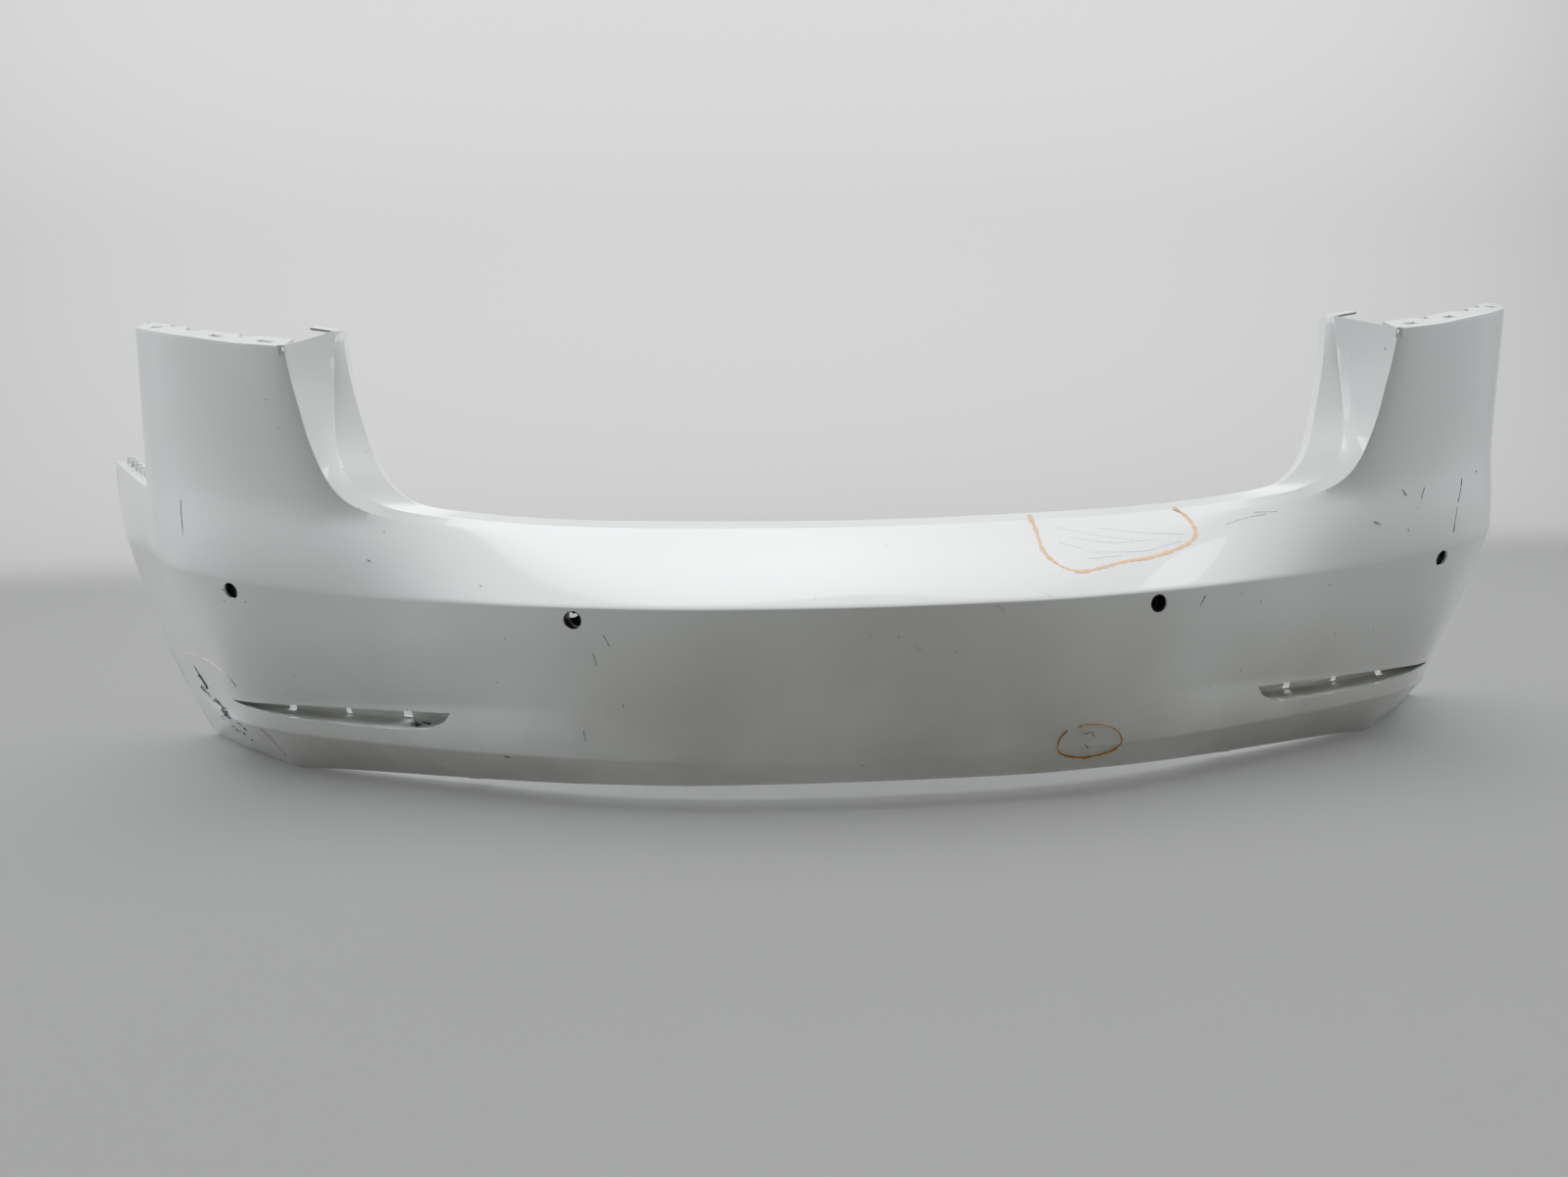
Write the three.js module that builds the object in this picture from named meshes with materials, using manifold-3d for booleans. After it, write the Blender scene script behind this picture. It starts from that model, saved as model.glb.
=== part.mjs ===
// Rear bumper cover of a saloon car, off the car: one thin painted skin with its turned-in flanges and
// reflector pockets, and the small holders, adhesive rings, retainers and clip nuts that stay on it.
// Millimetres, +X across the car, +Y forward (the painted rear face looks to -Y), +Z up.
import * as THREE from "three";
import Module from "manifold-3d";

const wasm = await Module();
wasm.setup();

// ---- overall sizes ----
const HALF_WIDTH = 938; // centre line to the front end of a wing
const SKIN = 2.8; // wall of the moulding
const GAP = 0.3; // clearance between two pieces that touch
const HEIGHT_SCALE = 1; // stretches every height of the skin
const DEPTH_SCALE = 1; // stretches every depth of the skin

// ---- flanges ----
const REAR_FLANGE = 24; // forward run of the flange behind the shelf
const TOP_FLANGE = 30; // forward run of the flange on a pillar top
const TOP_FLANGE_RISE = 10;
const SIDE_FLANGE = 26; // outward run of the flange on the side return
const LAMP_FLANGE = 14; // inward run of the flange down a pillar's outer edge
const WING_FLANGE = 28; // inward run of the flange along a wing top
const ARCH_FLANGE = 26; // inward run of the flange round the wheel arch
const LOWER_FLANGE = 20; // forward run of the flange under the lower edge

// ---- holes ----
const SENSOR_HOLE_R = 9.2;
const SENSOR_X = [289.5, 665];
const SENSOR_DROP = 13.5; // sensor centre below the ridge
const POCKET_DEPTH = 20;
const POCKET_SLOT = [9.5, 5.5];
const POCKET_SLOT_X = [484, 557, 629];
const SCREW_HOLE_R = 3.2;
const WINDOW = [12, 9]; // snap window in a wing flange, along and across
const WINDOW_COUNT = 6;

// ---- loose pieces ----
const RING_THICK = 1.1;
const RING_R = 17;
const HOLDER_PLATE = 2.4;
const HOLDER_HALF = 19;
const HOLDER_ABOVE = 10.5; // the holder and its pad stop here above the hole, under the bend of the ridge
const HOLDER_BORE = SENSOR_HOLE_R + 0.8;
const COLLAR_R = HOLDER_BORE + 2.6;
const COLLAR_LONG = 15;
const NUT_WIDE = 15;
const NUT_LONG = 17;
const NUT_SHEET = 0.9;
const NUT_HOLE_R = 2.4;
const RAIL_THICK = 2.4;

const WING_INWARD = [-0.84, 0.54, 0]; // across a wing flange, from the painted face to its free edge
const SIMPLIFY = 0.01; // joins flat triangles without moving a face

// ---- small maths ----
const lerp = (a, b, t) => a + (b - a) * t;
const mix3 = (p, q, t) => [lerp(p[0], q[0], t), lerp(p[1], q[1], t), lerp(p[2], q[2], t)];
const add3 = (p, q) => [p[0] + q[0], p[1] + q[1], p[2] + q[2]];
const vec = (p) => new THREE.Vector3(p[0], p[1], p[2]);

// A smooth curve through [position, value] pairs that never overshoots them.
function curve(pairs) {
  const x = pairs.map((p) => p[0]);
  const y = pairs.map((p) => p[1]);
  const n = x.length;
  const step = x.slice(1).map((v, i) => (y[i + 1] - y[i]) / (v - x[i]));
  const slope = x.map((_, i) => {
    if (i === 0) return step[0];
    if (i === n - 1) return step[n - 2];
    const [a, b] = [step[i - 1], step[i]];
    if (a * b <= 0) return 0;
    const [ha, hb] = [x[i] - x[i - 1], x[i + 1] - x[i]];
    return (3 * (ha + hb)) / ((2 * hb + ha) / a + (hb + 2 * ha) / b);
  });
  return (v) => {
    let i = 0;
    while (i < n - 2 && v > x[i + 1]) i += 1;
    const h = x[i + 1] - x[i];
    const t = (v - x[i]) / h;
    if (t < 0) return y[0] + slope[0] * (v - x[0]);
    if (t > 1) return y[n - 1] + slope[n - 1] * (v - x[n - 1]);
    const [t2, t3] = [t * t, t * t * t];
    return (2 * t3 - 3 * t2 + 1) * y[i] + (t3 - 2 * t2 + t) * h * slope[i]
      + (3 * t2 - 2 * t3) * y[i + 1] + (t3 - t2) * h * slope[i + 1];
  };
}

// ---- feature lines of the right half, as depth and height over the distance from the centre ----
const depth = (pairs) => curve(pairs.map(([x, y]) => [x, y * DEPTH_SCALE]));
const height = (pairs) => curve(pairs.map(([x, z]) => [x, z * HEIGHT_SCALE]));

const BELT = {
  y: depth([[-120, 58], [0, 48], [120, 58], [230, 72], [330, 82], [400, 86], [450, 88], [500, 93], [560, 105],
    [600, 118], [665, 143], [720, 174], [765, 214], [802, 268], [870, 372], [938, 480]]),
  z: height([[0, 72.6], [120, 73], [230, 75], [330, 80], [400, 87], [450, 93.7], [476, 97], [520, 104],
    [560, 110], [640, 119], [720, 127], [765, 131], [802, 134], [870, 149], [938, 165]]),
  end: 938,
};
const RIDGE = {
  y: depth([[-150, -20], [0, -30], [150, -20], [290, 4], [400, 37], [500, 76], [600, 112], [665, 137], [720, 166],
    [765, 206], [796, 259], [860, 356], [925, 462]]),
  z: height([[0, 10], [150, 10.6], [290, 13.5], [400, 17], [500, 21], [600, 29], [665, 37], [720, 45],
    [765, 52], [800, 57], [925, 70]]),
  end: 925,
};
const CREASE = {
  y: depth([[-150, -3], [0, -10], [150, -3], [290, 30], [400, 78], [500, 128], [600, 176], [665, 206], [705, 232],
    [722, 256], [752, 300], [787, 350], [821, 400], [853, 447]]),
  z: height([[0, -144], [290, -144.5], [400, -146], [500, -147], [600, -145], [665, -141], [705, -138],
    [752, -136], [853, -133]]),
  end: 853,
};
const LOWER = {
  y: depth([[-150, 46], [0, 39], [150, 46], [290, 80], [400, 128], [500, 175], [600, 226], [654, 257], [676, 283],
    [735, 345], [786, 405], [820, 446]]),
  z: height([[0, -181], [150, -181.5], [290, -184], [400, -188], [500, -191], [600, -195], [654, -199.5],
    [700, -199.5], [820, -199.5]]),
  end: 820,
};
const SLANT_FROM = 640; // outboard of here the columns lean with the wheel arch edge

// Top edge of the pillar's rear face, and a line of the same face carried on above the shelf.
const CROWN_Y = depth([[400, 62], [500, 72], [573, 86], [606, 98], [637, 113], [670, 129], [703, 146],
  [735, 168], [760, 193], [776, 216], [802, 258]]);
const CROWN_Z = height([[575, 273.5], [606, 277], [638, 281], [670, 287], [703, 293], [760, 304], [776, 308]]);
const CROWN_LEVEL = 300 * HEIGHT_SCALE;
// Inner edge of the pillar, from the shelf up, and its outer edge, from the wing up: [x, height].
const INNER_EDGE = [[476, 97], [495, 102.5], [512, 109], [527, 118], [540, 133], [547, 146], [552.5, 161],
  [560, 185], [566, 215], [571.5, 243], [575, 273.5]].map(([x, z]) => [x, z * HEIGHT_SCALE]);
const OUTER_EDGE = [[802, 134], [797, 165], [793, 200], [785, 250], [776, 308]];

// The returns inside the boot opening, matched to the front edge from the centre to the pillar top:
// [front edge x], first fold, second fold.
const SHELF_STEPS = [
  [0, [0, 60, 80], [0, 95, 85]],
  [230, [230, 83, 83], [230, 106, 89]],
  [330, [329, 92, 88], [327, 108, 94]],
  [400, [398, 95, 95], [393, 109, 101]],
  [450, [447, 94, 101.5], [431, 107, 106.5]],
  [476, [472, 95, 106], [452, 106.5, 111]],
];
const RETURN_STEPS = [
  [[472, 95, 106], [452, 106.5, 111]],
  [[490, 98, 111.5], [465, 108, 117.5]],
  [[506, 102, 119], [478, 111, 126.5]],
  [[519, 107, 131], [489, 116.5, 138.5]],
  [[530, 114, 147], [498, 124.5, 152]],
  [[537, 122, 157], [503.5, 130.5, 162]],
  [[541.5, 130, 168], [508, 136.5, 173]],
  [[546.5, 142, 187], [515, 144.5, 189]],
  [[549.5, 154, 215], [526, 157.5, 220]],
  [[551, 165, 243], [535.5, 168, 252]],
  [[549.5, 175, 297], [545, 186, 299]],
].map((row) => row.map(([x, y, z]) => [x, y * DEPTH_SCALE, z * HEIGHT_SCALE]));

// ---- points of the painted face ----
const rowPoint = (row, station) => {
  const x = station <= SLANT_FROM ? station
    : SLANT_FROM + ((station - SLANT_FROM) * (row.end - SLANT_FROM)) / (HALF_WIDTH - SLANT_FROM);
  return [x, row.y(x), row.z(x)];
};
const FACE_BOW = 5; // how far the middle of the face stands out between ridge and lower crease
const SHELF_BOW = 4;

function faceColumn(station) {
  const [top, ridge, crease, foot] = [BELT, RIDGE, CREASE, LOWER].map((row) => rowPoint(row, station));
  const column = [];
  const bowed = (a, b, count, bow) => {
    for (let k = 0; k < count; k += 1) {
      const t = k / count;
      const p = mix3(a, b, t);
      column.push([p[0], p[1] - bow * 4 * t * (1 - t), p[2]]);
    }
  };
  bowed(top, ridge, 4, SHELF_BOW);
  bowed(ridge, crease, 6, FACE_BOW);
  bowed(crease, foot, 2, 1);
  column.push(foot);
  return column;
}

// Depth of the face between ridge and lower crease at a place seen from behind.
function faceDepth(x, z) {
  const t = (RIDGE.z(x) - z) / (RIDGE.z(x) - CREASE.z(x));
  return lerp(RIDGE.y(x), CREASE.y(x), t) - FACE_BOW * 4 * t * (1 - t);
}

// Depth of the pillar face above the shelf line.
function pillarDepth(x, z) {
  const base = BELT.z(x);
  const t = (z - base) / (CROWN_LEVEL - base);
  return lerp(BELT.y(x), CROWN_Y(x), t);
}

// ---- a sheet of triangles with shared corners, thickened into a closed wall ----
class Sheet {
  constructor() {
    this.points = [];
    this.faces = [];
    this.index = new Map();
  }

  point(p) {
    const key = p.map((v) => Math.round(v * 1000)).join(",");
    if (!this.index.has(key)) {
      this.index.set(key, this.points.length);
      this.points.push(p);
    }
    return this.index.get(key);
  }

  triangle(a, b, c) {
    const ids = [this.point(a), this.point(b), this.point(c)];
    if (new Set(ids).size === 3) this.faces.push(ids);
  }

  // rows of points; the outside is seen with the rows running down and the columns running right
  strip(rows) {
    for (let i = 0; i < rows.length - 1; i += 1) {
      for (let j = 0; j < rows[i].length - 1; j += 1) {
        const [a, b, c, d] = [rows[i][j], rows[i + 1][j], rows[i + 1][j + 1], rows[i][j + 1]];
        this.triangle(a, b, c);
        this.triangle(a, c, d);
      }
    }
  }

  // the strip and its mirror image across the middle of the car
  both(rows) {
    this.strip(rows);
    this.strip(rows.map((row) => row.map(([x, y, z]) => [-x, y, z]).reverse()));
  }

  faceNormals() {
    return this.faces.map((f) => {
      const [a, b, c] = f.map((i) => vec(this.points[i]));
      return b.sub(a).cross(c.sub(a)).normalize();
    });
  }

  // The wall: every corner is pushed back so that each face round it moves back by the thickness.
  thicken(thickness) {
    const normals = this.faceNormals();
    const around = this.points.map(() => []);
    this.faces.forEach((f, k) => f.forEach((i) => around[i].push(normals[k])));
    const back = this.points.map((p, i) => {
      const m = new THREE.Matrix3().set(0.02, 0, 0, 0, 0.02, 0, 0, 0, 0.02);
      const e = m.elements;
      const rhs = new THREE.Vector3();
      const mean = around[i].reduce((s, n) => s.add(n), new THREE.Vector3()).normalize();
      rhs.addScaledVector(mean, 0.02);
      around[i].forEach((n) => {
        const v = [n.x, n.y, n.z];
        for (let r = 0; r < 3; r += 1) for (let c = 0; c < 3; c += 1) e[c * 3 + r] += v[r] * v[c];
        rhs.add(n);
      });
      const d = rhs.applyMatrix3(m.invert()).multiplyScalar(thickness);
      return [p[0] - d.x, p[1] - d.y, p[2] - d.z];
    });
    const n = this.points.length;
    const out = this.faces.flatMap((f) => [f, [f[2] + n, f[1] + n, f[0] + n]]);
    const edges = new Set(this.faces.flatMap((f) => f.map((a, k) => a + "_" + f[(k + 1) % 3])));
    edges.forEach((key) => {
      const [a, b] = key.split("_").map(Number);
      if (!edges.has(b + "_" + a)) out.push([b, a, a + n], [b, a + n, b + n]);
    });
    return solid(this.points.concat(back), out);
  }
}

function solid(points, faces) {
  return new wasm.Manifold(new wasm.Mesh({
    numProp: 3,
    vertProperties: new Float32Array(points.flat()),
    triVerts: new Uint32Array(faces.flat()),
  }));
}

// A three.js geometry as a solid, placed by a matrix.
function placed(geometry, matrix) {
  const g = geometry.clone().applyMatrix4(matrix);
  const flat = g.index ? g.toNonIndexed() : g;
  const pos = flat.attributes.position;
  const sheet = new Sheet();
  for (let i = 0; i < pos.count; i += 3) {
    const [a, b, c] = [0, 1, 2].map((k) => [pos.getX(i + k), pos.getY(i + k), pos.getZ(i + k)]);
    sheet.triangle(a, b, c);
  }
  return solid(sheet.points, sheet.faces);
}

// A frame at a point: its Z along the given direction, its X as near as can be to the given side.
function frameAt(origin, forward, side) {
  const z = vec(forward).normalize();
  const y = z.clone().cross(vec(side)).normalize();
  const x = y.clone().cross(z);
  return new THREE.Matrix4().makeBasis(x, y, z).setPosition(...origin);
}

const boxAt = (frame, size, centre) => placed(
  new THREE.BoxGeometry(...size),
  frame.clone().multiply(new THREE.Matrix4().makeTranslation(...centre)),
);
const rodAt = (frame, radius, from, to, x = 0, y = 0) => placed(
  new THREE.CylinderGeometry(radius, radius, to - from, radius > 8 ? 24 : 12).rotateX(Math.PI / 2),
  frame.clone().multiply(new THREE.Matrix4().makeTranslation(x, y, (from + to) / 2)),
);

// ---- the skin ----
const STATIONS = [0, 40, 80, 120, 160, 200, 240, 275, 304, 330, 355, 380, 400, 425, 450, 476];
const PILLAR_STATIONS = [501, 527, 553, 579, 605, 632, 658, 685, 711, 738, 765, 784, 802];
const WING_STATIONS = [822, 842, 862, 881, 900, 919, HALF_WIDTH];

function shelfFolds(x) {
  const fold = (k, axis) => curve(SHELF_STEPS.map((row) => [row[0], row[k][axis]]))(x);
  return [1, 2].map((k) => [fold(k, 0), fold(k, 1) * DEPTH_SCALE, fold(k, 2) * HEIGHT_SCALE]);
}

const pillarBase = [476, ...PILLAR_STATIONS].map((x) => rowPoint(BELT, x));

// Rows of the pillar face, from its base to its top, each from the inner to the outer edge.
function pillarRows() {
  const count = pillarBase.length;
  const outer = curve(OUTER_EDGE.map(([x, z]) => [z * HEIGHT_SCALE, x]));
  return INNER_EDGE.map(([xi, zi], r) => {
    if (r === 0) return pillarBase;
    const lift = (r / (INNER_EDGE.length - 1)) ** 1.6;
    const zo = lerp(OUTER_EDGE[0][1], OUTER_EDGE[4][1], lift) * HEIGHT_SCALE;
    const xo = outer(zo);
    return pillarBase.map((b, j) => {
      const s = (b[0] - 476) / (802 - 476);
      const t = (s * s + s) / 2;
      const x = lerp(xi, xo, lerp(s, t, lift * 0.15));
      const level = lerp(zi, zo, s);
      const zBase = BELT.z(x);
      const top = x > 575 ? CROWN_Z(Math.min(x, 776)) : INNER_EDGE[INNER_EDGE.length - 1][1];
      const z = r === INNER_EDGE.length - 1 ? top : Math.max(level, zBase + 2);
      if (j === 0) return [xi, pillarDepth(xi, zi), zi];
      if (j === count - 1) return [xo, pillarDepth(xo, zo), zo];
      return [x, pillarDepth(x, z), z];
    });
  });
}

function buildSkinSheet() {
  const sheet = new Sheet();
  const columns = [...STATIONS, ...PILLAR_STATIONS, ...WING_STATIONS].map(faceColumn);
  const faceRows = columns[0].map((_, r) => columns.map((c) => c[r]));
  sheet.both(faceRows);

  const rows = pillarRows();
  sheet.both([...rows].reverse());

  // shelf and side return, from the rear flange to the front edge
  const shelf = STATIONS.map((x) => [...shelfFolds(x), rowPoint(BELT, x)]);
  const side = rows.map((row, r) => [...RETURN_STEPS[r], row[0]]).slice(1);
  const run = [...shelf, ...side].map(([first, second, edge], k) => {
    const rear = add3(second, [0, REAR_FLANGE * (k < STATIONS.length ? 1 : 0.6), -3]);
    return [rear, second, first, edge];
  });
  sheet.both([0, 1, 2, 3].map((r) => run.map((c) => c[r])));

  // flange on the pillar top, with the pillar's own top edge as its near side
  const crown = rows[rows.length - 1];
  const far = crown.map((p) => add3(p, [0, TOP_FLANGE, TOP_FLANGE_RISE]));
  sheet.both([far.slice(1), crown.slice(1)]);

  // flange on top of the side return, turned outward
  const last = run[run.length - 1];
  const edgeTop = [last[1], last[2]];
  const outward = edgeTop.map((p) => add3(p, [SIDE_FLANGE, 0, 4]));
  sheet.both([outward, edgeTop]);

  // flange down the pillar's outer edge, turned forward and inward
  const outer = rows.map((row) => row[row.length - 1]);
  const lamp = outer.map((p) => add3(p, [-4, LAMP_FLANGE, 0]));
  sheet.both(outer.map((p, k) => [p, lamp[k]]).slice(1).reverse());

  // flange along the wing top, turned inward
  const wingTop = WING_STATIONS.map((x) => rowPoint(BELT, x));
  const wingIn = wingTop.map((p) => add3(p, WING_INWARD.map((v) => v * WING_FLANGE)));
  sheet.both([wingIn, wingTop]);

  // flange round the wheel arch, turned inward
  const arch = faceRows.map((row) => row[row.length - 1]);
  const archIn = arch.map((p) => add3(p, [-ARCH_FLANGE, 6, 0]));
  sheet.both(arch.map((p, k) => [p, archIn[k]]).slice(1, -1));

  // flange under the lower edge, turned forward
  const foot = faceRows[faceRows.length - 1].slice(0, -1);
  const footIn = foot.map((p) => add3(p, [0, LOWER_FLANGE, 0]));
  sheet.both([foot, footIn]);
  return sheet;
}

// ---- reflector pocket: a tapered trough, deepest under its upper edge ----
const POCKET_TOP = (x) => lerp(-103.5, -110, (x - 428) / (706 - 428)) * HEIGHT_SCALE;
const POCKET_FOOT = curve([[458, -124], [520, -126.5], [600, -125], [660, -119], [706, -111.5]]);
const POCKET_WALL = 2.4;

function pocketBody(side, grow, nearDepth, farDepth) {
  const across = 14;
  const down = 5;
  const grid = [];
  for (let i = 0; i <= across; i += 1) {
    const u = i / across;
    const xTop = lerp(428 - grow, 706 + grow, u);
    const xFoot = lerp(458 - grow, 706 + grow, u);
    const zTop = POCKET_TOP(xTop) + grow * 0.8;
    const zFoot = POCKET_FOOT(xFoot) * HEIGHT_SCALE - grow * 0.8;
    const column = [];
    for (let j = 0; j <= down; j += 1) {
      const v = j / down;
      const x = lerp(xTop, xFoot, v);
      column.push([x, lerp(zTop, zFoot, v), v]);
    }
    grid.push(column);
  }
  const skin = (depthAt) => grid.map((column) => column.map(([x, z, v]) => [
    side * x, faceDepth(x, z) + depthAt(v), z,
  ]));
  const near = skin(nearDepth);
  const far = skin(farDepth);
  const sheet = new Sheet();
  const rim = [];
  const quad = (a, b, c, d) => {
    const ring = side > 0 ? [a, b, c, d] : [d, c, b, a];
    sheet.triangle(ring[0], ring[1], ring[2]);
    sheet.triangle(ring[0], ring[2], ring[3]);
  };
  for (let i = 0; i < across; i += 1) {
    for (let j = 0; j < down; j += 1) {
      quad(near[i][j], near[i][j + 1], near[i + 1][j + 1], near[i + 1][j]);
      quad(far[i][j], far[i + 1][j], far[i + 1][j + 1], far[i][j + 1]);
    }
    rim.push([[i, 0], [i + 1, 0]], [[i + 1, down], [i, down]]);
  }
  for (let j = 0; j < down; j += 1) rim.push([[0, j + 1], [0, j]], [[across, j], [across, j + 1]]);
  rim.forEach(([[a, b], [c, d]]) => quad(near[a][b], near[c][d], far[c][d], far[a][b]));
  return solid(sheet.points, sheet.faces);
}

const troughDepth = (v) => (v < 0.5 ? POCKET_DEPTH : lerp(POCKET_DEPTH, 5, (v - 0.5) / 0.5));

// ---- places on the face ----
const SENSORS = [-1, 1].flatMap((side) => SENSOR_X.map((x, k) => {
  const z = RIDGE.z(x) - SENSOR_DROP;
  const e = 6;
  const slopeX = (faceDepth(x + e, z) - faceDepth(x - e, z)) / (2 * e);
  const slopeZ = (faceDepth(x, z + e) - faceDepth(x, z - e)) / (2 * e);
  return {
    name: (side < 0 ? "left" : "right") + (k ? "_outer" : "_inner"),
    frame: frameAt([side * x, faceDepth(x, z), z], [-side * slopeX, 1, -slopeZ], [1, 0, 0]),
  };
}));

const white = { color: 0xe9ebea, roughness: 0.22, metalness: 0 };
const black = { color: 0x1b1c1d, roughness: 0.6, metalness: 0 };
const grey = { color: 0x3a3b3c, roughness: 0.9, metalness: 0 };
const steel = { color: 0x8f8f8c, roughness: 0.35, metalness: 1 };
const group = new THREE.Group();
group.name = "bumper_cover";

function addPiece(name, body, finish) {
  const mesh = body.simplify(SIMPLIFY).getMesh();
  const geometry = new THREE.BufferGeometry();
  geometry.setAttribute("position", new THREE.BufferAttribute(new Float32Array(mesh.vertProperties), 3));
  geometry.setIndex(new THREE.BufferAttribute(new Uint32Array(mesh.triVerts), 1));
  geometry.computeVertexNormals();
  const made = new THREE.Mesh(geometry, new THREE.MeshStandardMaterial(finish));
  made.name = name;
  group.add(made);
}

// ---- clip nuts: a strip folded over the edge of a flange ----
// The frame has its origin on the free edge, Z into the flange, Y along the outside normal.
function clipNut(frame) {
  const inside = SKIN + 2 * GAP;
  const long = NUT_LONG;
  const leaf = (y) => boxAt(frame, [NUT_WIDE, NUT_SHEET, long], [0, y, long / 2 - GAP - NUT_SHEET]);
  const fold = boxAt(frame, [NUT_WIDE, inside + 2 * NUT_SHEET, NUT_SHEET], [0, -SKIN / 2, -GAP - NUT_SHEET / 2]);
  const far = -SKIN - GAP - NUT_SHEET / 2;
  const turned = frame.clone().multiply(new THREE.Matrix4().makeRotationX(-Math.PI / 2));
  const neck = rodAt(turned, NUT_HOLE_R + 1.6, -5.5 - SKIN, far + 0.2, 0, -long * 0.5);
  const hole = rodAt(turned, NUT_HOLE_R, -14, 6, 0, -long * 0.5);
  return wasm.Manifold.union([leaf(GAP + NUT_SHEET / 2), leaf(far), fold, neck]).subtract(hole);
}

const nutHole = (frame) => rodAt(
  frame.clone().multiply(new THREE.Matrix4().makeRotationX(-Math.PI / 2)), SCREW_HOLE_R, -8, 6, 0, -NUT_LONG * 0.5,
);

// Frames on the free edges of a flange: origin, direction into the flange, outside normal.
function flangeFrame(root, edge, along, side) {
  const a = vec(along).normalize();
  const across = vec(root).sub(vec(edge));
  const into = across.addScaledVector(a, -across.dot(a)).normalize();
  const normal = a.clone().cross(into).normalize();
  const x = normal.clone().cross(into);
  const m = new THREE.Matrix4().makeBasis(x, normal, into).setPosition(...edge);
  return side > 0 ? m : mirrored(m);
}

// The mirror image of a frame across the middle of the car, still right-handed.
function mirrored(m) {
  const e = m.elements;
  const flip = new THREE.Matrix4().fromArray([
    e[0], -e[1], -e[2], 0, -e[4], e[5], e[6], 0, -e[8], e[9], e[10], 0, -e[12], e[13], e[14], 1,
  ]);
  return flip;
}

const archNutRows = [2, 5, 8]; // face rows beside which a nut sits
const lowerNutX = [180, 420];

function archFrames(side) {
  const column = faceColumn(HALF_WIDTH);
  return archNutRows.map((r) => {
    const mid = mix3(column[r], column[r + 1], 0.5);
    return flangeFrame(mid, add3(mid, [-ARCH_FLANGE, 6, 0]), vec(column[r]).sub(vec(column[r + 1])).toArray(), side);
  });
}

function lowerFrames(side) {
  return lowerNutX.map((x) => {
    const k = STATIONS.findIndex((s) => s >= x);
    const [a, b] = [STATIONS[k - 1], STATIONS[k]].map((s) => faceColumn(s).pop());
    const mid = mix3(a, b, 0.5);
    return flangeFrame(mid, add3(mid, [0, LOWER_FLANGE, 0]), vec(b).sub(vec(a)).toArray(), side);
  });
}

// ---- cuts in the skin ----
function skinCuts() {
  const cuts = SENSORS.map((s) => rodAt(s.frame, SENSOR_HOLE_R, -8, 9));
  [-1, 1].forEach((side) => {
    archFrames(side).forEach((f) => cuts.push(nutHole(f)));
    lowerFrames(side).forEach((f) => cuts.push(nutHole(f)));
    POCKET_SLOT_X.forEach((x) => {
      const z = POCKET_TOP(x) - 5.4;
      const y = faceDepth(x, z) + POCKET_DEPTH;
      cuts.push(boxAt(new THREE.Matrix4(), [POCKET_SLOT[0], 16, POCKET_SLOT[1]], [side * x, y, z]));
    });
    // snap windows in the wing flange
    for (let k = 0; k < WINDOW_COUNT; k += 1) {
      const t = (k + 0.7) / (WINDOW_COUNT + 0.2);
      const x = lerp(WING_STATIONS[0], HALF_WIDTH, t);
      const [across, forward] = WING_INWARD;
      const p = add3(rowPoint(BELT, x), [across * WING_FLANGE * 0.5, forward * WING_FLANGE * 0.5, 0]);
      const f = frameAt([side * p[0], p[1], p[2]], [side * forward, -across, 0.12], [-side * across, -forward, 0]);
      cuts.push(boxAt(f, [WINDOW[1], 14, WINDOW[0]], [0, 0, 0]));
    }
    // fastening slots in the pillar top and the side return
    [600, 668, 748].forEach((x) => {
      const p = [side * x, CROWN_Y(x) + TOP_FLANGE * 0.5, CROWN_Z(x) + TOP_FLANGE_RISE * 0.5];
      cuts.push(boxAt(new THREE.Matrix4(), [16, 8, 16], [p[0], p[1] * DEPTH_SCALE, p[2]]));
    });
  });
  return cuts;
}

function buildSkin() {
  let body = buildSkinSheet().thicken(SKIN);
  [-1, 1].forEach((side) => {
    const cup = pocketBody(side, POCKET_WALL, () => 1, (v) => troughDepth(v) + POCKET_WALL);
    const room = pocketBody(side, 0, () => -14, troughDepth);
    body = body.add(cup).subtract(room);
  });
  return body.subtract(wasm.Manifold.union(skinCuts()));
}

// ---- sensor holders and their adhesive rings, behind the four holes ----
function addSensorParts() {
  SENSORS.forEach(({ name, frame }) => {
    const z0 = SKIN + 3 * GAP;
    const below = boxAt(frame, [80, 80, 80], [0, 40 - HOLDER_ABOVE, 0]);
    const bore = rodAt(frame, HOLDER_BORE - 0.4, 0, 60);
    const ring = rodAt(frame, RING_R, z0, z0 + RING_THICK).intersect(below).subtract(bore);
    addPiece("adhesive_ring_" + name, ring, grey);
    const z1 = z0 + RING_THICK + GAP;
    const plate = boxAt(frame, [2 * HOLDER_HALF, 2 * HOLDER_HALF, HOLDER_PLATE],
      [0, HOLDER_HALF - HOLDER_ABOVE, z1 + HOLDER_PLATE / 2]);
    const collar = rodAt(frame, COLLAR_R, z1 + HOLDER_PLATE - 0.5, z1 + COLLAR_LONG);
    const arms = [-1, 1].map((s) => boxAt(frame, [3, 12, COLLAR_LONG + 5],
      [s * (COLLAR_R + 2.6), 0, z1 + (COLLAR_LONG + 5) / 2]));
    const hooks = [-1, 1].map((s) => boxAt(frame, [5, 12, 3],
      [s * (COLLAR_R + 1.6), 0, z1 + COLLAR_LONG + 3.5]));
    const body = wasm.Manifold.union([plate, collar, ...arms, ...hooks]).subtract(rodAt(frame, HOLDER_BORE, 0, 60));
    addPiece("sensor_holder_" + name, body, black);
  });
}

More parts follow.
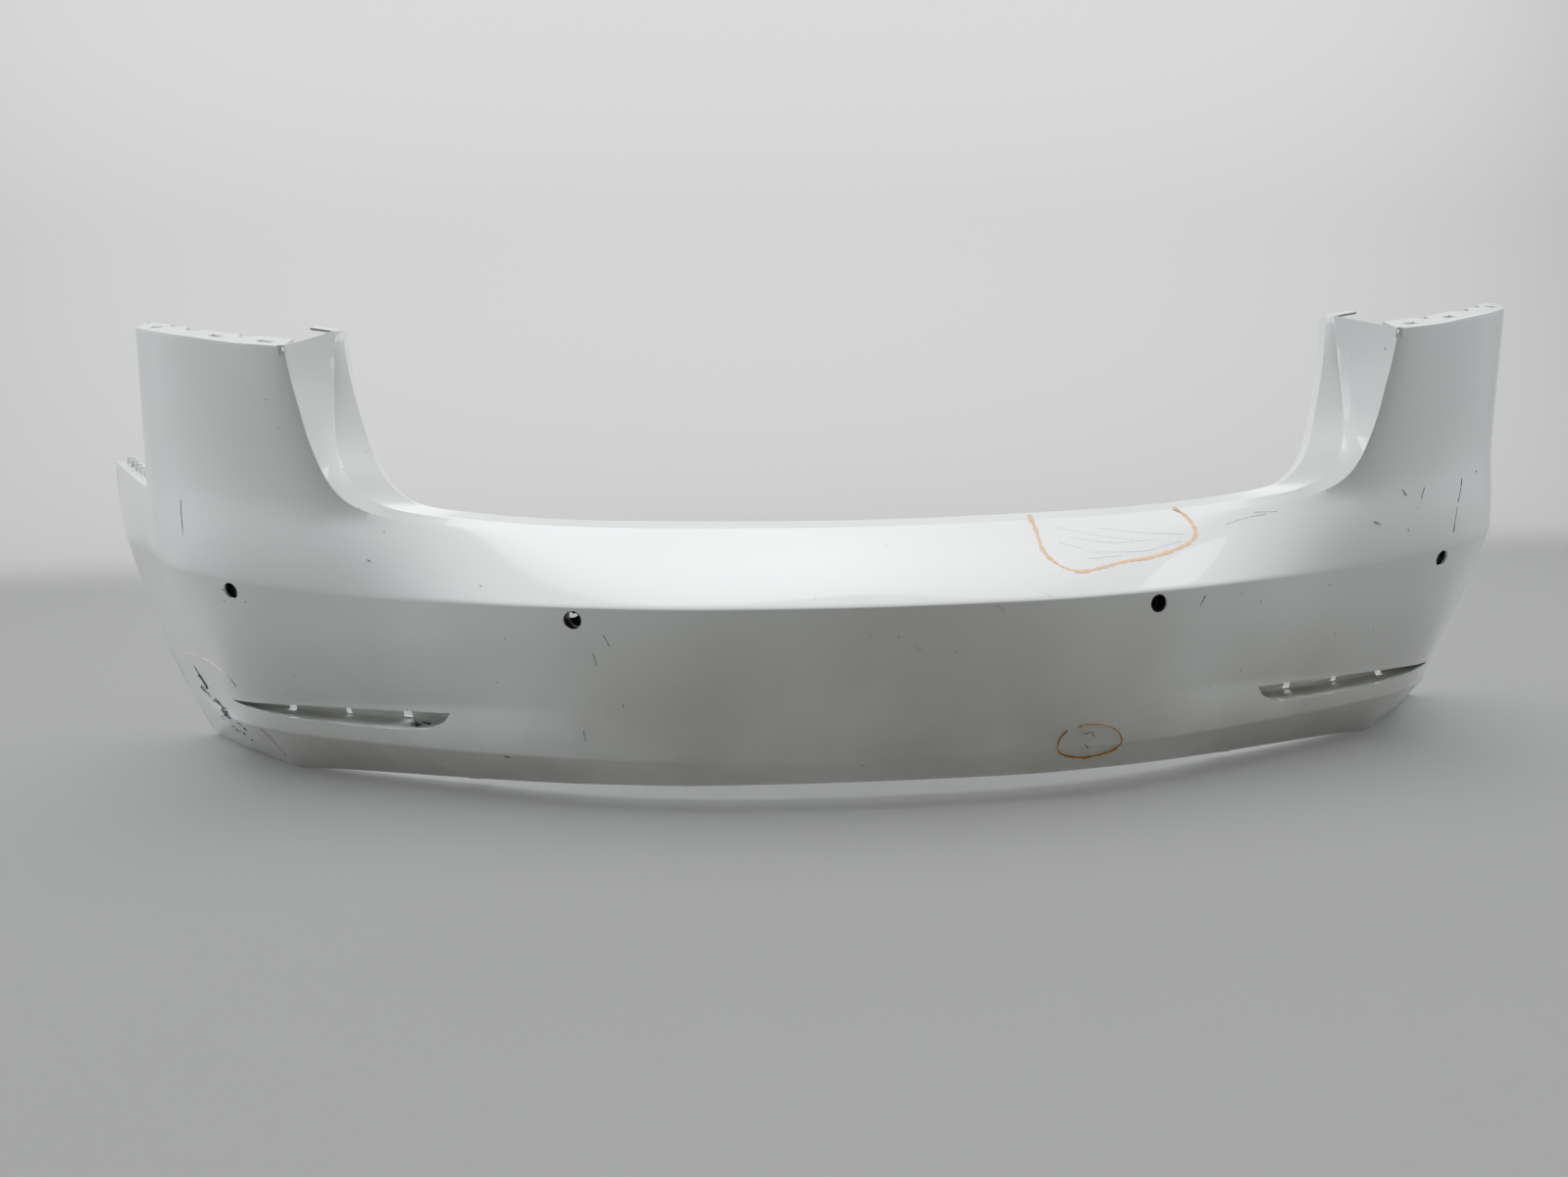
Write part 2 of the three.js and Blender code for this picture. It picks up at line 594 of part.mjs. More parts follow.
// ---- rails that hook under a flange: a flat strip against it and a web that hangs from the strip ----
// The line runs along the root of the flange, inward is the unit direction from the root to the free edge.
function railUnder(line, inward, side, { inner, outer, drop, web }) {
  const at = (p, run, down) => [p[0] + inward[0] * run, p[1] + inward[1] * run, p[2] + inward[2] * run - down];
  const bar = (from, to, top, bottom) => {
    const sheet = new Sheet();
    const sections = line.map((p) => [at(p, to, top), at(p, from, top), at(p, from, bottom), at(p, to, bottom)]);
    const put = (a, b, c, d) => {
      const q = (side > 0 ? [a, b, c, d] : [d, c, b, a]).map(([x, y, z]) => [side * x, y, z]);
      sheet.triangle(q[0], q[1], q[2]);
      sheet.triangle(q[0], q[2], q[3]);
    };
    for (let k = 0; k < sections.length - 1; k += 1) {
      for (let c = 0; c < 4; c += 1) {
        const n = (c + 1) % 4;
        put(sections[k][c], sections[k][n], sections[k + 1][n], sections[k + 1][c]);
      }
    }
    put(...[...sections[0]].reverse());
    put(...sections[sections.length - 1]);
    return solid(sheet.points, sheet.faces);
  };
  return bar(outer, inner, drop, drop + RAIL_THICK).add(bar(inner - RAIL_THICK, inner, drop, drop + web));
}

function addRails() {
  const wingLine = WING_STATIONS.slice(1, -1).map((x) => rowPoint(BELT, x));
  const rows = pillarRows();
  const crownLine = rows[rows.length - 1].slice(2, -2);
  const rise = Math.atan2(TOP_FLANGE_RISE, TOP_FLANGE);
  [-1, 1].forEach((side) => {
    const word = side < 0 ? "left" : "right";
    addPiece("wing_retainer_" + word, railUnder(wingLine, WING_INWARD, side, {
      inner: WING_FLANGE - 3, outer: 9, drop: SKIN + 3 * GAP, web: 18,
    }), black);
    addPiece("pillar_bracket_" + word, railUnder(crownLine, [0, Math.cos(rise), Math.sin(rise)], side, {
      inner: TOP_FLANGE - 2, outer: 8, drop: (SKIN + 3 * GAP) / Math.cos(rise), web: 30,
    }), black);
  });
}

function addClipNuts() {
  [-1, 1].forEach((side) => {
    const word = side < 0 ? "left" : "right";
    archFrames(side).forEach((f, k) => addPiece("arch_nut_" + word + "_" + (k + 1), clipNut(f), steel));
    lowerFrames(side).forEach((f, k) => addPiece("lower_nut_" + word + "_" + (k + 1), clipNut(f), steel));
  });
}

// The middle of the part's base becomes the origin.
function standOnOrigin() {
  const box = new THREE.Box3().setFromObject(group);
  const centre = box.getCenter(new THREE.Vector3());
  group.children.forEach((mesh) => mesh.geometry.translate(-centre.x, -centre.y, -box.min.z));
}

addPiece("skin", buildSkin(), white);
addSensorParts();
addRails();
addClipNuts();
standOnOrigin();

export default group;
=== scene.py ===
"""Rear bumper cover of a saloon car, off the car: the painted skin, its small fittings and its wear."""
import logging
import math
from dataclasses import dataclass, field
from enum import Enum
from typing import Callable, Sequence

import bmesh
import bpy
import numpy as np
from mathutils import Euler, Matrix, Vector


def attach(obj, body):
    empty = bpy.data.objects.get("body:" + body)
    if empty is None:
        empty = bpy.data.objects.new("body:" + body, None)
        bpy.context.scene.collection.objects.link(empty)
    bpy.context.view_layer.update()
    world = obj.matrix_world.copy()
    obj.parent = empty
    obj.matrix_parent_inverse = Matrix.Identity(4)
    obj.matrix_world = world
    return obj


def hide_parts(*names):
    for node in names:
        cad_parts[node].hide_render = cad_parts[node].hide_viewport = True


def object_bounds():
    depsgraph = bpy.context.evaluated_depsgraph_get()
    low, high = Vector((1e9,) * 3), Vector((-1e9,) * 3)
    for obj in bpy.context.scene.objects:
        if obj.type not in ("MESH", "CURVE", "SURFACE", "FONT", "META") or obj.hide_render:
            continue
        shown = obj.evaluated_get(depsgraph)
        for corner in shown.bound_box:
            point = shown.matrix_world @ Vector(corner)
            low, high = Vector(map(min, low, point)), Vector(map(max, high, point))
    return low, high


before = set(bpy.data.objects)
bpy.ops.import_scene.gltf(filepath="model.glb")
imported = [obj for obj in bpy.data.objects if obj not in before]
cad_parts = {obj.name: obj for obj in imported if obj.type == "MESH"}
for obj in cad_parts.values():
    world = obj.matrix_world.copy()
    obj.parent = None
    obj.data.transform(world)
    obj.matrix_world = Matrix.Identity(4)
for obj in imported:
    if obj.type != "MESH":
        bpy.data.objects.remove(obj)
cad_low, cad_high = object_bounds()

logging.basicConfig(level=logging.INFO, format="%(message)s")
log = logging.getLogger("bumper")

MM = 0.001
Pairs = Sequence[Sequence[float]]
Drawn = Sequence[tuple[float, float]]
Solid = tuple[list[Vector], list[tuple[int, ...]]]
SMOOTH = {"interpolation_type": "SMOOTHSTEP"}
COLOURS = {"data_type": "RGBA"}
TIMES = {"operation": "MULTIPLY"}
TIMES_PLUS = {"operation": "MULTIPLY_ADD"}
ONE, TWO, MIXED = 6, 7, 2  # sockets of a colour mix: its two colours and its result

# ---------------------------------------------------------------- node helpers


def linear(code: str) -> tuple[float, float, float, float]:
    """Turns an sRGB hex colour into linear values.

    Args:
        code: six hex digits, such as "e9ebea".

    Returns:
        Red, green, blue and an alpha of one.
    """
    parts = [int(code[k:k + 2], 16) / 255 for k in (0, 2, 4)]
    red, green, blue = (c / 12.92 if c <= 0.04045 else ((c + 0.055) / 1.055) ** 2.4 for c in parts)
    return red, green, blue, 1.0


def feed(tree: bpy.types.NodeTree, made: bpy.types.Node, feeds: dict) -> None:
    """Sets a node's inputs.

    Args:
        tree: the node tree that holds the node.
        made: the node.
        feeds: input names or numbers, and the socket or the plain value that feeds each.
    """
    for name, value in feeds.items():
        if isinstance(value, bpy.types.NodeSocket):
            tree.links.new(value, made.inputs[name])
        else:
            made.inputs[name].default_value = value


def node(tree: bpy.types.NodeTree, kind: str, settings: dict | None = None,
         feeds: dict | None = None) -> bpy.types.Node:
    """Adds a node with its settings, input values and incoming links.

    Args:
        tree: the node tree that gets the node.
        kind: the node's type name.
        settings: attribute names and their values.
        feeds: input names or numbers, and the socket or the plain value that feeds each.

    Returns:
        The new node.
    """
    made = tree.nodes.new(kind)
    for name, value in (settings or {}).items():
        setattr(made, name, value)
    feed(tree, made, feeds or {})
    return made


# ---------------------------------------------------------------- finishes


@dataclass(frozen=True)
class Finish:
    """A finish: what the surface is made of, and how it is drawn."""

    name: str
    colour: str
    roughness: float
    ior: float = 1.5

    def make(self) -> bpy.types.Material:
        """Builds the material.

        Returns:
            The finished material.
        """
        material = bpy.data.materials.new(self.name)
        material.use_nodes = True
        tree = material.node_tree
        shader = tree.nodes["Principled BSDF"]
        feed(tree, shader, {"IOR": self.ior, "Roughness": self.roughness, "Base Color": linear(self.colour)})
        self.dress(tree, shader, node(tree, "ShaderNodeTexCoord").outputs["Object"])
        return material

    def dress(self, tree: bpy.types.NodeTree, shader: bpy.types.Node, place: bpy.types.NodeSocket) -> None:
        """Adds what makes the plain shader this finish; nothing here."""


@dataclass(frozen=True)
class ClearCoatedPaint(Finish):
    """Solid white car paint under clear lacquer, sprayed on a moulded bumper.

    It gives deep sharp reflections over a soft milky white, a faint orange peel, a film of road dust that
    gathers low down, and a few hairline scratches.
    """

    aged: str = "c8cac3"
    dust: str = "a19c8c"
    fleck: str = "77756f"
    dust_top: float = 0.26
    dust_foot: float = 0.02
    dust_least: float = 0.05
    dust_gain: float = 0.55
    aged_mm: float = 420.0
    dust_mm: float = 160.0
    fleck_mm: float = 6.5
    hair_mm: float = 26.0
    hair_squeeze: tuple[float, float, float] = (0.25, 0.25, 9.0)
    hair_dulls: float = 0.12
    lacquer_roughness: float = 0.035
    peel_mm: float = 7.0
    peel_depth_mm: float = 0.012

    def dress(self, tree: bpy.types.NodeTree, shader: bpy.types.Node, place: bpy.types.NodeSocket) -> None:
        """Adds the dust film, the hairlines, the lacquer and the orange peel."""
        height = node(tree, "ShaderNodeSeparateXYZ", None, {0: place}).outputs["Z"]
        low = node(tree, "ShaderNodeMapRange", SMOOTH,
                   {"Value": height, "From Min": self.dust_top, "From Max": self.dust_foot})
        clouds = []
        for size_mm, detail, none, full in ((self.dust_mm, 5, 0.35, 0.75), (self.aged_mm, 2, 0.3, 0.7),
                                            (self.fleck_mm, 1, 0.79, 0.81)):
            cloud = node(tree, "ShaderNodeTexNoise", None,
                         {"Vector": place, "Scale": 1 / (size_mm * MM), "Detail": detail})
            clouds.append(node(tree, "ShaderNodeMapRange", SMOOTH,
                               {"Value": cloud.outputs[0], "From Min": none, "From Max": full}).outputs[0])
        dust, age, fleck = clouds
        film = node(tree, "ShaderNodeMath", TIMES, {0: low.outputs[0], 1: dust})
        film = node(tree, "ShaderNodeMath", TIMES_PLUS, {0: film.outputs[0], 1: self.dust_gain, 2: self.dust_least})
        tone = linear(self.colour)
        for share, over in ((age, self.aged), (film.outputs[0], self.dust), (fleck, self.fleck)):
            tone = node(tree, "ShaderNodeMix", COLOURS, {0: share, ONE: tone, TWO: linear(over)}).outputs[MIXED]
        drawn = node(tree, "ShaderNodeMapping", None, {"Vector": place, "Scale": self.hair_squeeze})
        hair = node(tree, "ShaderNodeTexNoise", None,
                    {"Vector": drawn.outputs[0], "Scale": 1 / (self.hair_mm * MM), "Detail": 2})
        hair = node(tree, "ShaderNodeMapRange", SMOOTH, {"Value": hair.outputs[0], "From Min": 0.70, "From Max": 0.72})
        dull = node(tree, "ShaderNodeMath", TIMES_PLUS, {0: hair.outputs[0], 1: self.hair_dulls, 2: self.roughness})
        peel = node(tree, "ShaderNodeTexNoise", None, {"Vector": place, "Scale": 1 / (self.peel_mm * MM), "Detail": 1})
        peel = node(tree, "ShaderNodeBump", None,
                    {"Height": peel.outputs[0], "Strength": 0.6, "Distance": self.peel_depth_mm * MM})
        feed(tree, shader, {"Base Color": tone, "Roughness": dull.outputs[0], "Coat Weight": 1.0,
                            "Coat Roughness": self.lacquer_roughness, "Coat IOR": 1.5, "Normal": peel.outputs[0]})


@dataclass(frozen=True)
class MouldedPlastic(Finish):
    """Black polypropylene as it leaves the mould: a fine spark grain, faint flow marks and grey dust."""

    dust: str = "454543"
    dusty: float = 0.35
    dust_mm: float = 110.0
    flow_mm: float = 60.0
    flow_squeeze: tuple[float, float, float] = (1.0, 1.0, 0.2)
    flow_dulls: float = 0.2
    grain_mm: float = 1.6
    grain_depth_mm: float = 0.08

    def dress(self, tree: bpy.types.NodeTree, shader: bpy.types.Node, place: bpy.types.NodeSocket) -> None:
        """Adds the dust, the flow marks and the grain."""
        cloud = node(tree, "ShaderNodeTexNoise", None, {"Vector": place, "Scale": 1 / (self.dust_mm * MM), "Detail": 4})
        cloud = node(tree, "ShaderNodeMapRange", SMOOTH, {"Value": cloud.outputs[0], "From Min": 0.3, "From Max": 0.9})
        film = node(tree, "ShaderNodeMath", TIMES, {0: cloud.outputs[0], 1: self.dusty})
        tone = node(tree, "ShaderNodeMix", COLOURS,
                    {0: film.outputs[0], ONE: linear(self.colour), TWO: linear(self.dust)})
        drawn = node(tree, "ShaderNodeMapping", None, {"Vector": place, "Scale": self.flow_squeeze})
        flow = node(tree, "ShaderNodeTexNoise", None,
                    {"Vector": drawn.outputs[0], "Scale": 1 / (self.flow_mm * MM), "Detail": 3})
        dull = node(tree, "ShaderNodeMath", TIMES_PLUS,
                    {0: flow.outputs[0], 1: self.flow_dulls, 2: self.roughness - self.flow_dulls / 2})
        grain = node(tree, "ShaderNodeTexNoise", None,
                     {"Vector": place, "Scale": 1 / (self.grain_mm * MM), "Detail": 2})
        grain = node(tree, "ShaderNodeBump", None,
                     {"Height": grain.outputs[0], "Strength": 0.5, "Distance": self.grain_depth_mm * MM})
        feed(tree, shader, {"Base Color": tone.outputs[MIXED], "Roughness": dull.outputs[0],
                            "Normal": grain.outputs[0]})


@dataclass(frozen=True)
class OversprayedBack(MouldedPlastic):
    """The bare inside of the moulding: dark plastic with a dry mist of white paint blown past the edges."""

    mist: str = "747674"
    mist_mm: float = 140.0
    speck_mm: float = 1.6
    top_from: float = 0.2
    top_full: float = 0.34
    foot_from: float = 0.06
    foot_full: float = 0.015

    def dress(self, tree: bpy.types.NodeTree, shader: bpy.types.Node, place: bpy.types.NodeSocket) -> None:
        """Adds the mist to the dusty plastic, more of it towards the top and the bottom edge."""
        super().dress(tree, shader, place)
        under = shader.inputs["Base Color"].links[0].from_socket
        height = node(tree, "ShaderNodeSeparateXYZ", None, {0: place}).outputs["Z"]
        top = node(tree, "ShaderNodeMapRange", SMOOTH,
                   {"Value": height, "From Min": self.top_from, "From Max": self.top_full})
        foot = node(tree, "ShaderNodeMapRange", SMOOTH,
                    {"Value": height, "From Min": self.foot_from, "From Max": self.foot_full})
        near = node(tree, "ShaderNodeMath", {"operation": "MAXIMUM"}, {0: top.outputs[0], 1: foot.outputs[0]})
        share = near.outputs[0]
        for size_mm, detail, none, full in ((self.mist_mm, 4, 0.2, 0.95), (self.speck_mm, 1, 0.2, 0.8)):
            cloud = node(tree, "ShaderNodeTexNoise", None,
                         {"Vector": place, "Scale": 1 / (size_mm * MM), "Detail": detail})
            cloud = node(tree, "ShaderNodeMapRange", SMOOTH,
                         {"Value": cloud.outputs[0], "From Min": none, "From Max": full})
            share = node(tree, "ShaderNodeMath", TIMES, {0: share, 1: cloud.outputs[0]}).outputs[0]
        tone = node(tree, "ShaderNodeMix", COLOURS, {0: share, ONE: under, TWO: linear(self.mist)})
        feed(tree, shader, {"Base Color": tone.outputs[MIXED]})


@dataclass(frozen=True)
class FoamPad(Finish):
    """Closed-cell adhesive foam: dull and dark with open pores on its cut face, each pore painted darker as shade."""

    pore_shade: str = "16171a"
    pore_mm: float = 1.2
    pore_depth_mm: float = 0.2

    def dress(self, tree: bpy.types.NodeTree, shader: bpy.types.Node, place: bpy.types.NodeSocket) -> None:
        """Adds the pores: a bump, and painted shade that darkens each pore."""
        cells = node(tree, "ShaderNodeTexVoronoi", None, {"Vector": place, "Scale": 1 / (self.pore_mm * MM)})
        far = cells.outputs["Distance"]
        share = node(tree, "ShaderNodeMapRange", SMOOTH, {"Value": far, "From Min": 0.1, "From Max": 0.6})
        # painted shade: the middle of each pore gets a darker colour that stands in for the shade in its hollow
        tone = node(tree, "ShaderNodeMix", COLOURS,
                    {0: share.outputs[0], ONE: linear(self.pore_shade), TWO: linear(self.colour)})
        pores = node(tree, "ShaderNodeBump", None,
                     {"Height": far, "Strength": 0.7, "Distance": self.pore_depth_mm * MM})
        feed(tree, shader, {"Base Color": tone.outputs[MIXED], "Normal": pores.outputs[0]})


@dataclass(frozen=True)
class ZincPlatedSteel(Finish):
    """Spring steel with a thin zinc plate: grey metal with a cloudy spangle and dull patches."""

    spangle: str = "77746a"
    spangle_mm: float = 4.0
    spangle_dulls: float = 0.3

    def dress(self, tree: bpy.types.NodeTree, shader: bpy.types.Node, place: bpy.types.NodeSocket) -> None:
        """Adds the spangle and the dull patches."""
        cloud = node(tree, "ShaderNodeTexNoise", None,
                     {"Vector": place, "Scale": 1 / (self.spangle_mm * MM), "Detail": 4}).outputs[0]
        tone = node(tree, "ShaderNodeMix", COLOURS, {0: cloud, ONE: linear(self.colour), TWO: linear(self.spangle)})
        dull = node(tree, "ShaderNodeMath", TIMES_PLUS,
                    {0: cloud, 1: self.spangle_dulls, 2: self.roughness - self.spangle_dulls / 3})
        feed(tree, shader, {"Metallic": 1.0, "Base Color": tone.outputs[MIXED], "Roughness": dull.outputs[0]})


@dataclass(frozen=True)
class WaxMark(Finish):
    """Wax crayon or rubbed-in dirt on paint: a dull broken streak that thins and thickens."""

    thin: str = "e0b25a"
    streak_mm: float = 3.5
    crumb_mm: float = 1.2
    crumb_depth_mm: float = 0.1

    def dress(self, tree: bpy.types.NodeTree, shader: bpy.types.Node, place: bpy.types.NodeSocket) -> None:
        """Adds the uneven body of the streak."""
        cloud = node(tree, "ShaderNodeTexNoise", None,
                     {"Vector": place, "Scale": 1 / (self.streak_mm * MM), "Detail": 3})
        cloud = node(tree, "ShaderNodeMapRange", SMOOTH, {"Value": cloud.outputs[0], "From Min": 0.35, "From Max": 0.7})
        tone = node(tree, "ShaderNodeMix", COLOURS,
                    {0: cloud.outputs[0], ONE: linear(self.colour), TWO: linear(self.thin)})
        crumb = node(tree, "ShaderNodeTexNoise", None,
                     {"Vector": place, "Scale": 1 / (self.crumb_mm * MM), "Detail": 2})
        crumb = node(tree, "ShaderNodeBump", None,
                     {"Height": crumb.outputs[0], "Strength": 0.5, "Distance": self.crumb_depth_mm * MM})
        feed(tree, shader, {"Base Color": tone.outputs[MIXED], "Normal": crumb.outputs[0]})


@dataclass(frozen=True)
class StudioPaper(Finish):
    """Pale seamless paper that glows a little, as it does under many weak lamps."""

    glow: float = 0.08
    glow_colour: str = "f4f5f6"

    def dress(self, tree: bpy.types.NodeTree, shader: bpy.types.Node, place: bpy.types.NodeSocket) -> None:
        """Adds the glow."""
        feed(tree, shader, {"Emission Color": linear(self.glow_colour), "Emission Strength": self.glow})


class Palette(Enum):
    """The finishes of the cover."""

    PAINT = ClearCoatedPaint("clear_coated_white_paint", "cfd2cd", 0.3)
    BACK = OversprayedBack("bare_polypropylene_with_overspray", "1c1d1e", 0.5, 1.49)
    PLASTIC = MouldedPlastic("moulded_black_polypropylene", "141516", 0.42, 1.49)
    FOAM = FoamPad("adhesive_foam", "34363a", 0.95, 1.4)
    STEEL = ZincPlatedSteel("zinc_plated_spring_steel", "a4a39b", 0.38)
    PENCIL = WaxMark("orange_wax_crayon", "b5760a", 0.6, 1.45, "c0841a")
    FAINT_PENCIL = WaxMark("faint_wax_crayon", "a88a4a", 0.5, 1.45, "c8bfa4")
    SCUFF = WaxMark("black_scuff", "141312", 0.6, 1.45, "3a3835")
    SCRATCH = WaxMark("fine_scratch", "6f706e", 0.4, 1.45, "a5a6a3")
    STUDIO = StudioPaper("studio_sweep", "c2c3c4", 0.9)

    def material(self) -> bpy.types.Material:
        """Returns the material, made once."""
        return bpy.data.materials.get(self.value.name) or self.value.make()


# ---------------------------------------------------------------- the drawn form


def hermite(points: Pairs, at: np.ndarray) -> np.ndarray:
    """Reads a smooth curve that never overshoots its drawn points.

    Args:
        points: pairs of position and value.
        at: the positions wanted.

    Returns:
        The values there, carried on straight past both ends.
    """
    x, y = np.array(points, float).T
    step, rise = np.diff(x), np.diff(y) / np.diff(x)
    slope = np.concatenate([rise[:1], np.zeros(len(x) - 2), rise[-1:]])
    same = rise[:-1] * rise[1:] > 0
    a, b, before, after = rise[:-1][same], rise[1:][same], step[:-1][same], step[1:][same]
    slope[1:-1][same] = 3 * (before + after) / ((2 * after + before) / a + (after + 2 * before) / b)
    k = np.clip(np.searchsorted(x, at) - 1, 0, len(x) - 2)
    t = (at - x[k]) / step[k]
    inside = ((2 * t**3 - 3 * t**2 + 1) * y[k] + (t**3 - 2 * t**2 + t) * step[k] * slope[k]
              + (3 * t**2 - 2 * t**3) * y[k + 1] + (t**3 - t**2) * step[k] * slope[k + 1])
    early, late = y[0] + slope[0] * (at - x[0]), y[-1] + slope[-1] * (at - x[-1])
    return np.where(at < x[0], early, np.where(at > x[-1], late, inside))


class SoftLine:
    """A line through a few drawn points, softened so that gloss runs over it without a kink."""

    STEP = 1.0
    SPARE = 160.0

    def __init__(self, points: Pairs, soften: float = 14.0, odd: bool = False, mirror: bool = True) -> None:
        """Samples and softens the line.

        Args:
            points: pairs of position and value, from the middle of the car outwards.
            soften: the width of the softening.
            odd: whether the other half has the opposite sign.
            mirror: whether the line goes on into the other half of the car.
        """
        pts = [tuple(map(float, p)) for p in points]
        if mirror:
            sign = -1 if odd else 1
            pts = [(-x, sign * y) for x, y in reversed(pts[1:])] + pts
        reach = 4 * soften + self.SPARE
        grid = np.arange(pts[0][0] - 2 * reach, pts[-1][0] + 2 * reach, self.STEP)
        spread = np.arange(-4 * soften, 4 * soften + self.STEP, self.STEP)
        kernel = np.exp(-0.5 * (spread / soften) ** 2)
        value = np.convolve(hermite(pts, grid), kernel / kernel.sum(), "same")
        keep = (grid > pts[0][0] - reach) & (grid < pts[-1][0] + reach)
        self.grid, self.value = grid[keep], value[keep]

    def __call__(self, x: np.ndarray | float) -> np.ndarray:
        """Returns the line's value at x."""
        return np.interp(x, self.grid, self.value)


def soft_max(a: np.ndarray, b: np.ndarray, width: np.ndarray | float) -> np.ndarray:
    """The larger of two depths, rounded where they meet.

    Args:
        a: the first depth.
        b: the second depth.
        width: how near to each other they are when the rounding starts.

    Returns:
        The rounded larger depth.
    """
    width = np.maximum(width, 1e-6)
    return np.maximum(a, b) + np.maximum(width - np.abs(a - b), 0) ** 2 / (4 * width)


def smooth_step(x: np.ndarray, low: float, high: float) -> np.ndarray:
    """Returns a smooth rise from nought at low to one at high."""
    t = np.clip((x - low) / (high - low), 0, 1)
    return t * t * (3 - 2 * t)


@dataclass
class FeatureLine:
    """One of the lines that run across the cover: its depth and height over the distance from the middle."""

    depth: Pairs
    height: Pairs
    end: float

    def __post_init__(self) -> None:
        """Softens both lines."""
        self.y = SoftLine(self.depth)
        self.z = SoftLine(self.height)

    def place(self, station: np.ndarray, slant_from: float, half_width: float) -> np.ndarray:
        """Finds points of the line.

        Args:
            station: distances from the middle, measured along the belt.
            slant_from: where the columns start to lean with the wheel arch.
            half_width: the belt's own end.

        Returns:
            The distances from the middle along this line.
        """
        lean = slant_from + (station - slant_from) * (self.end - slant_from) / (half_width - slant_from)
        return np.where(station <= slant_from, station, lean)


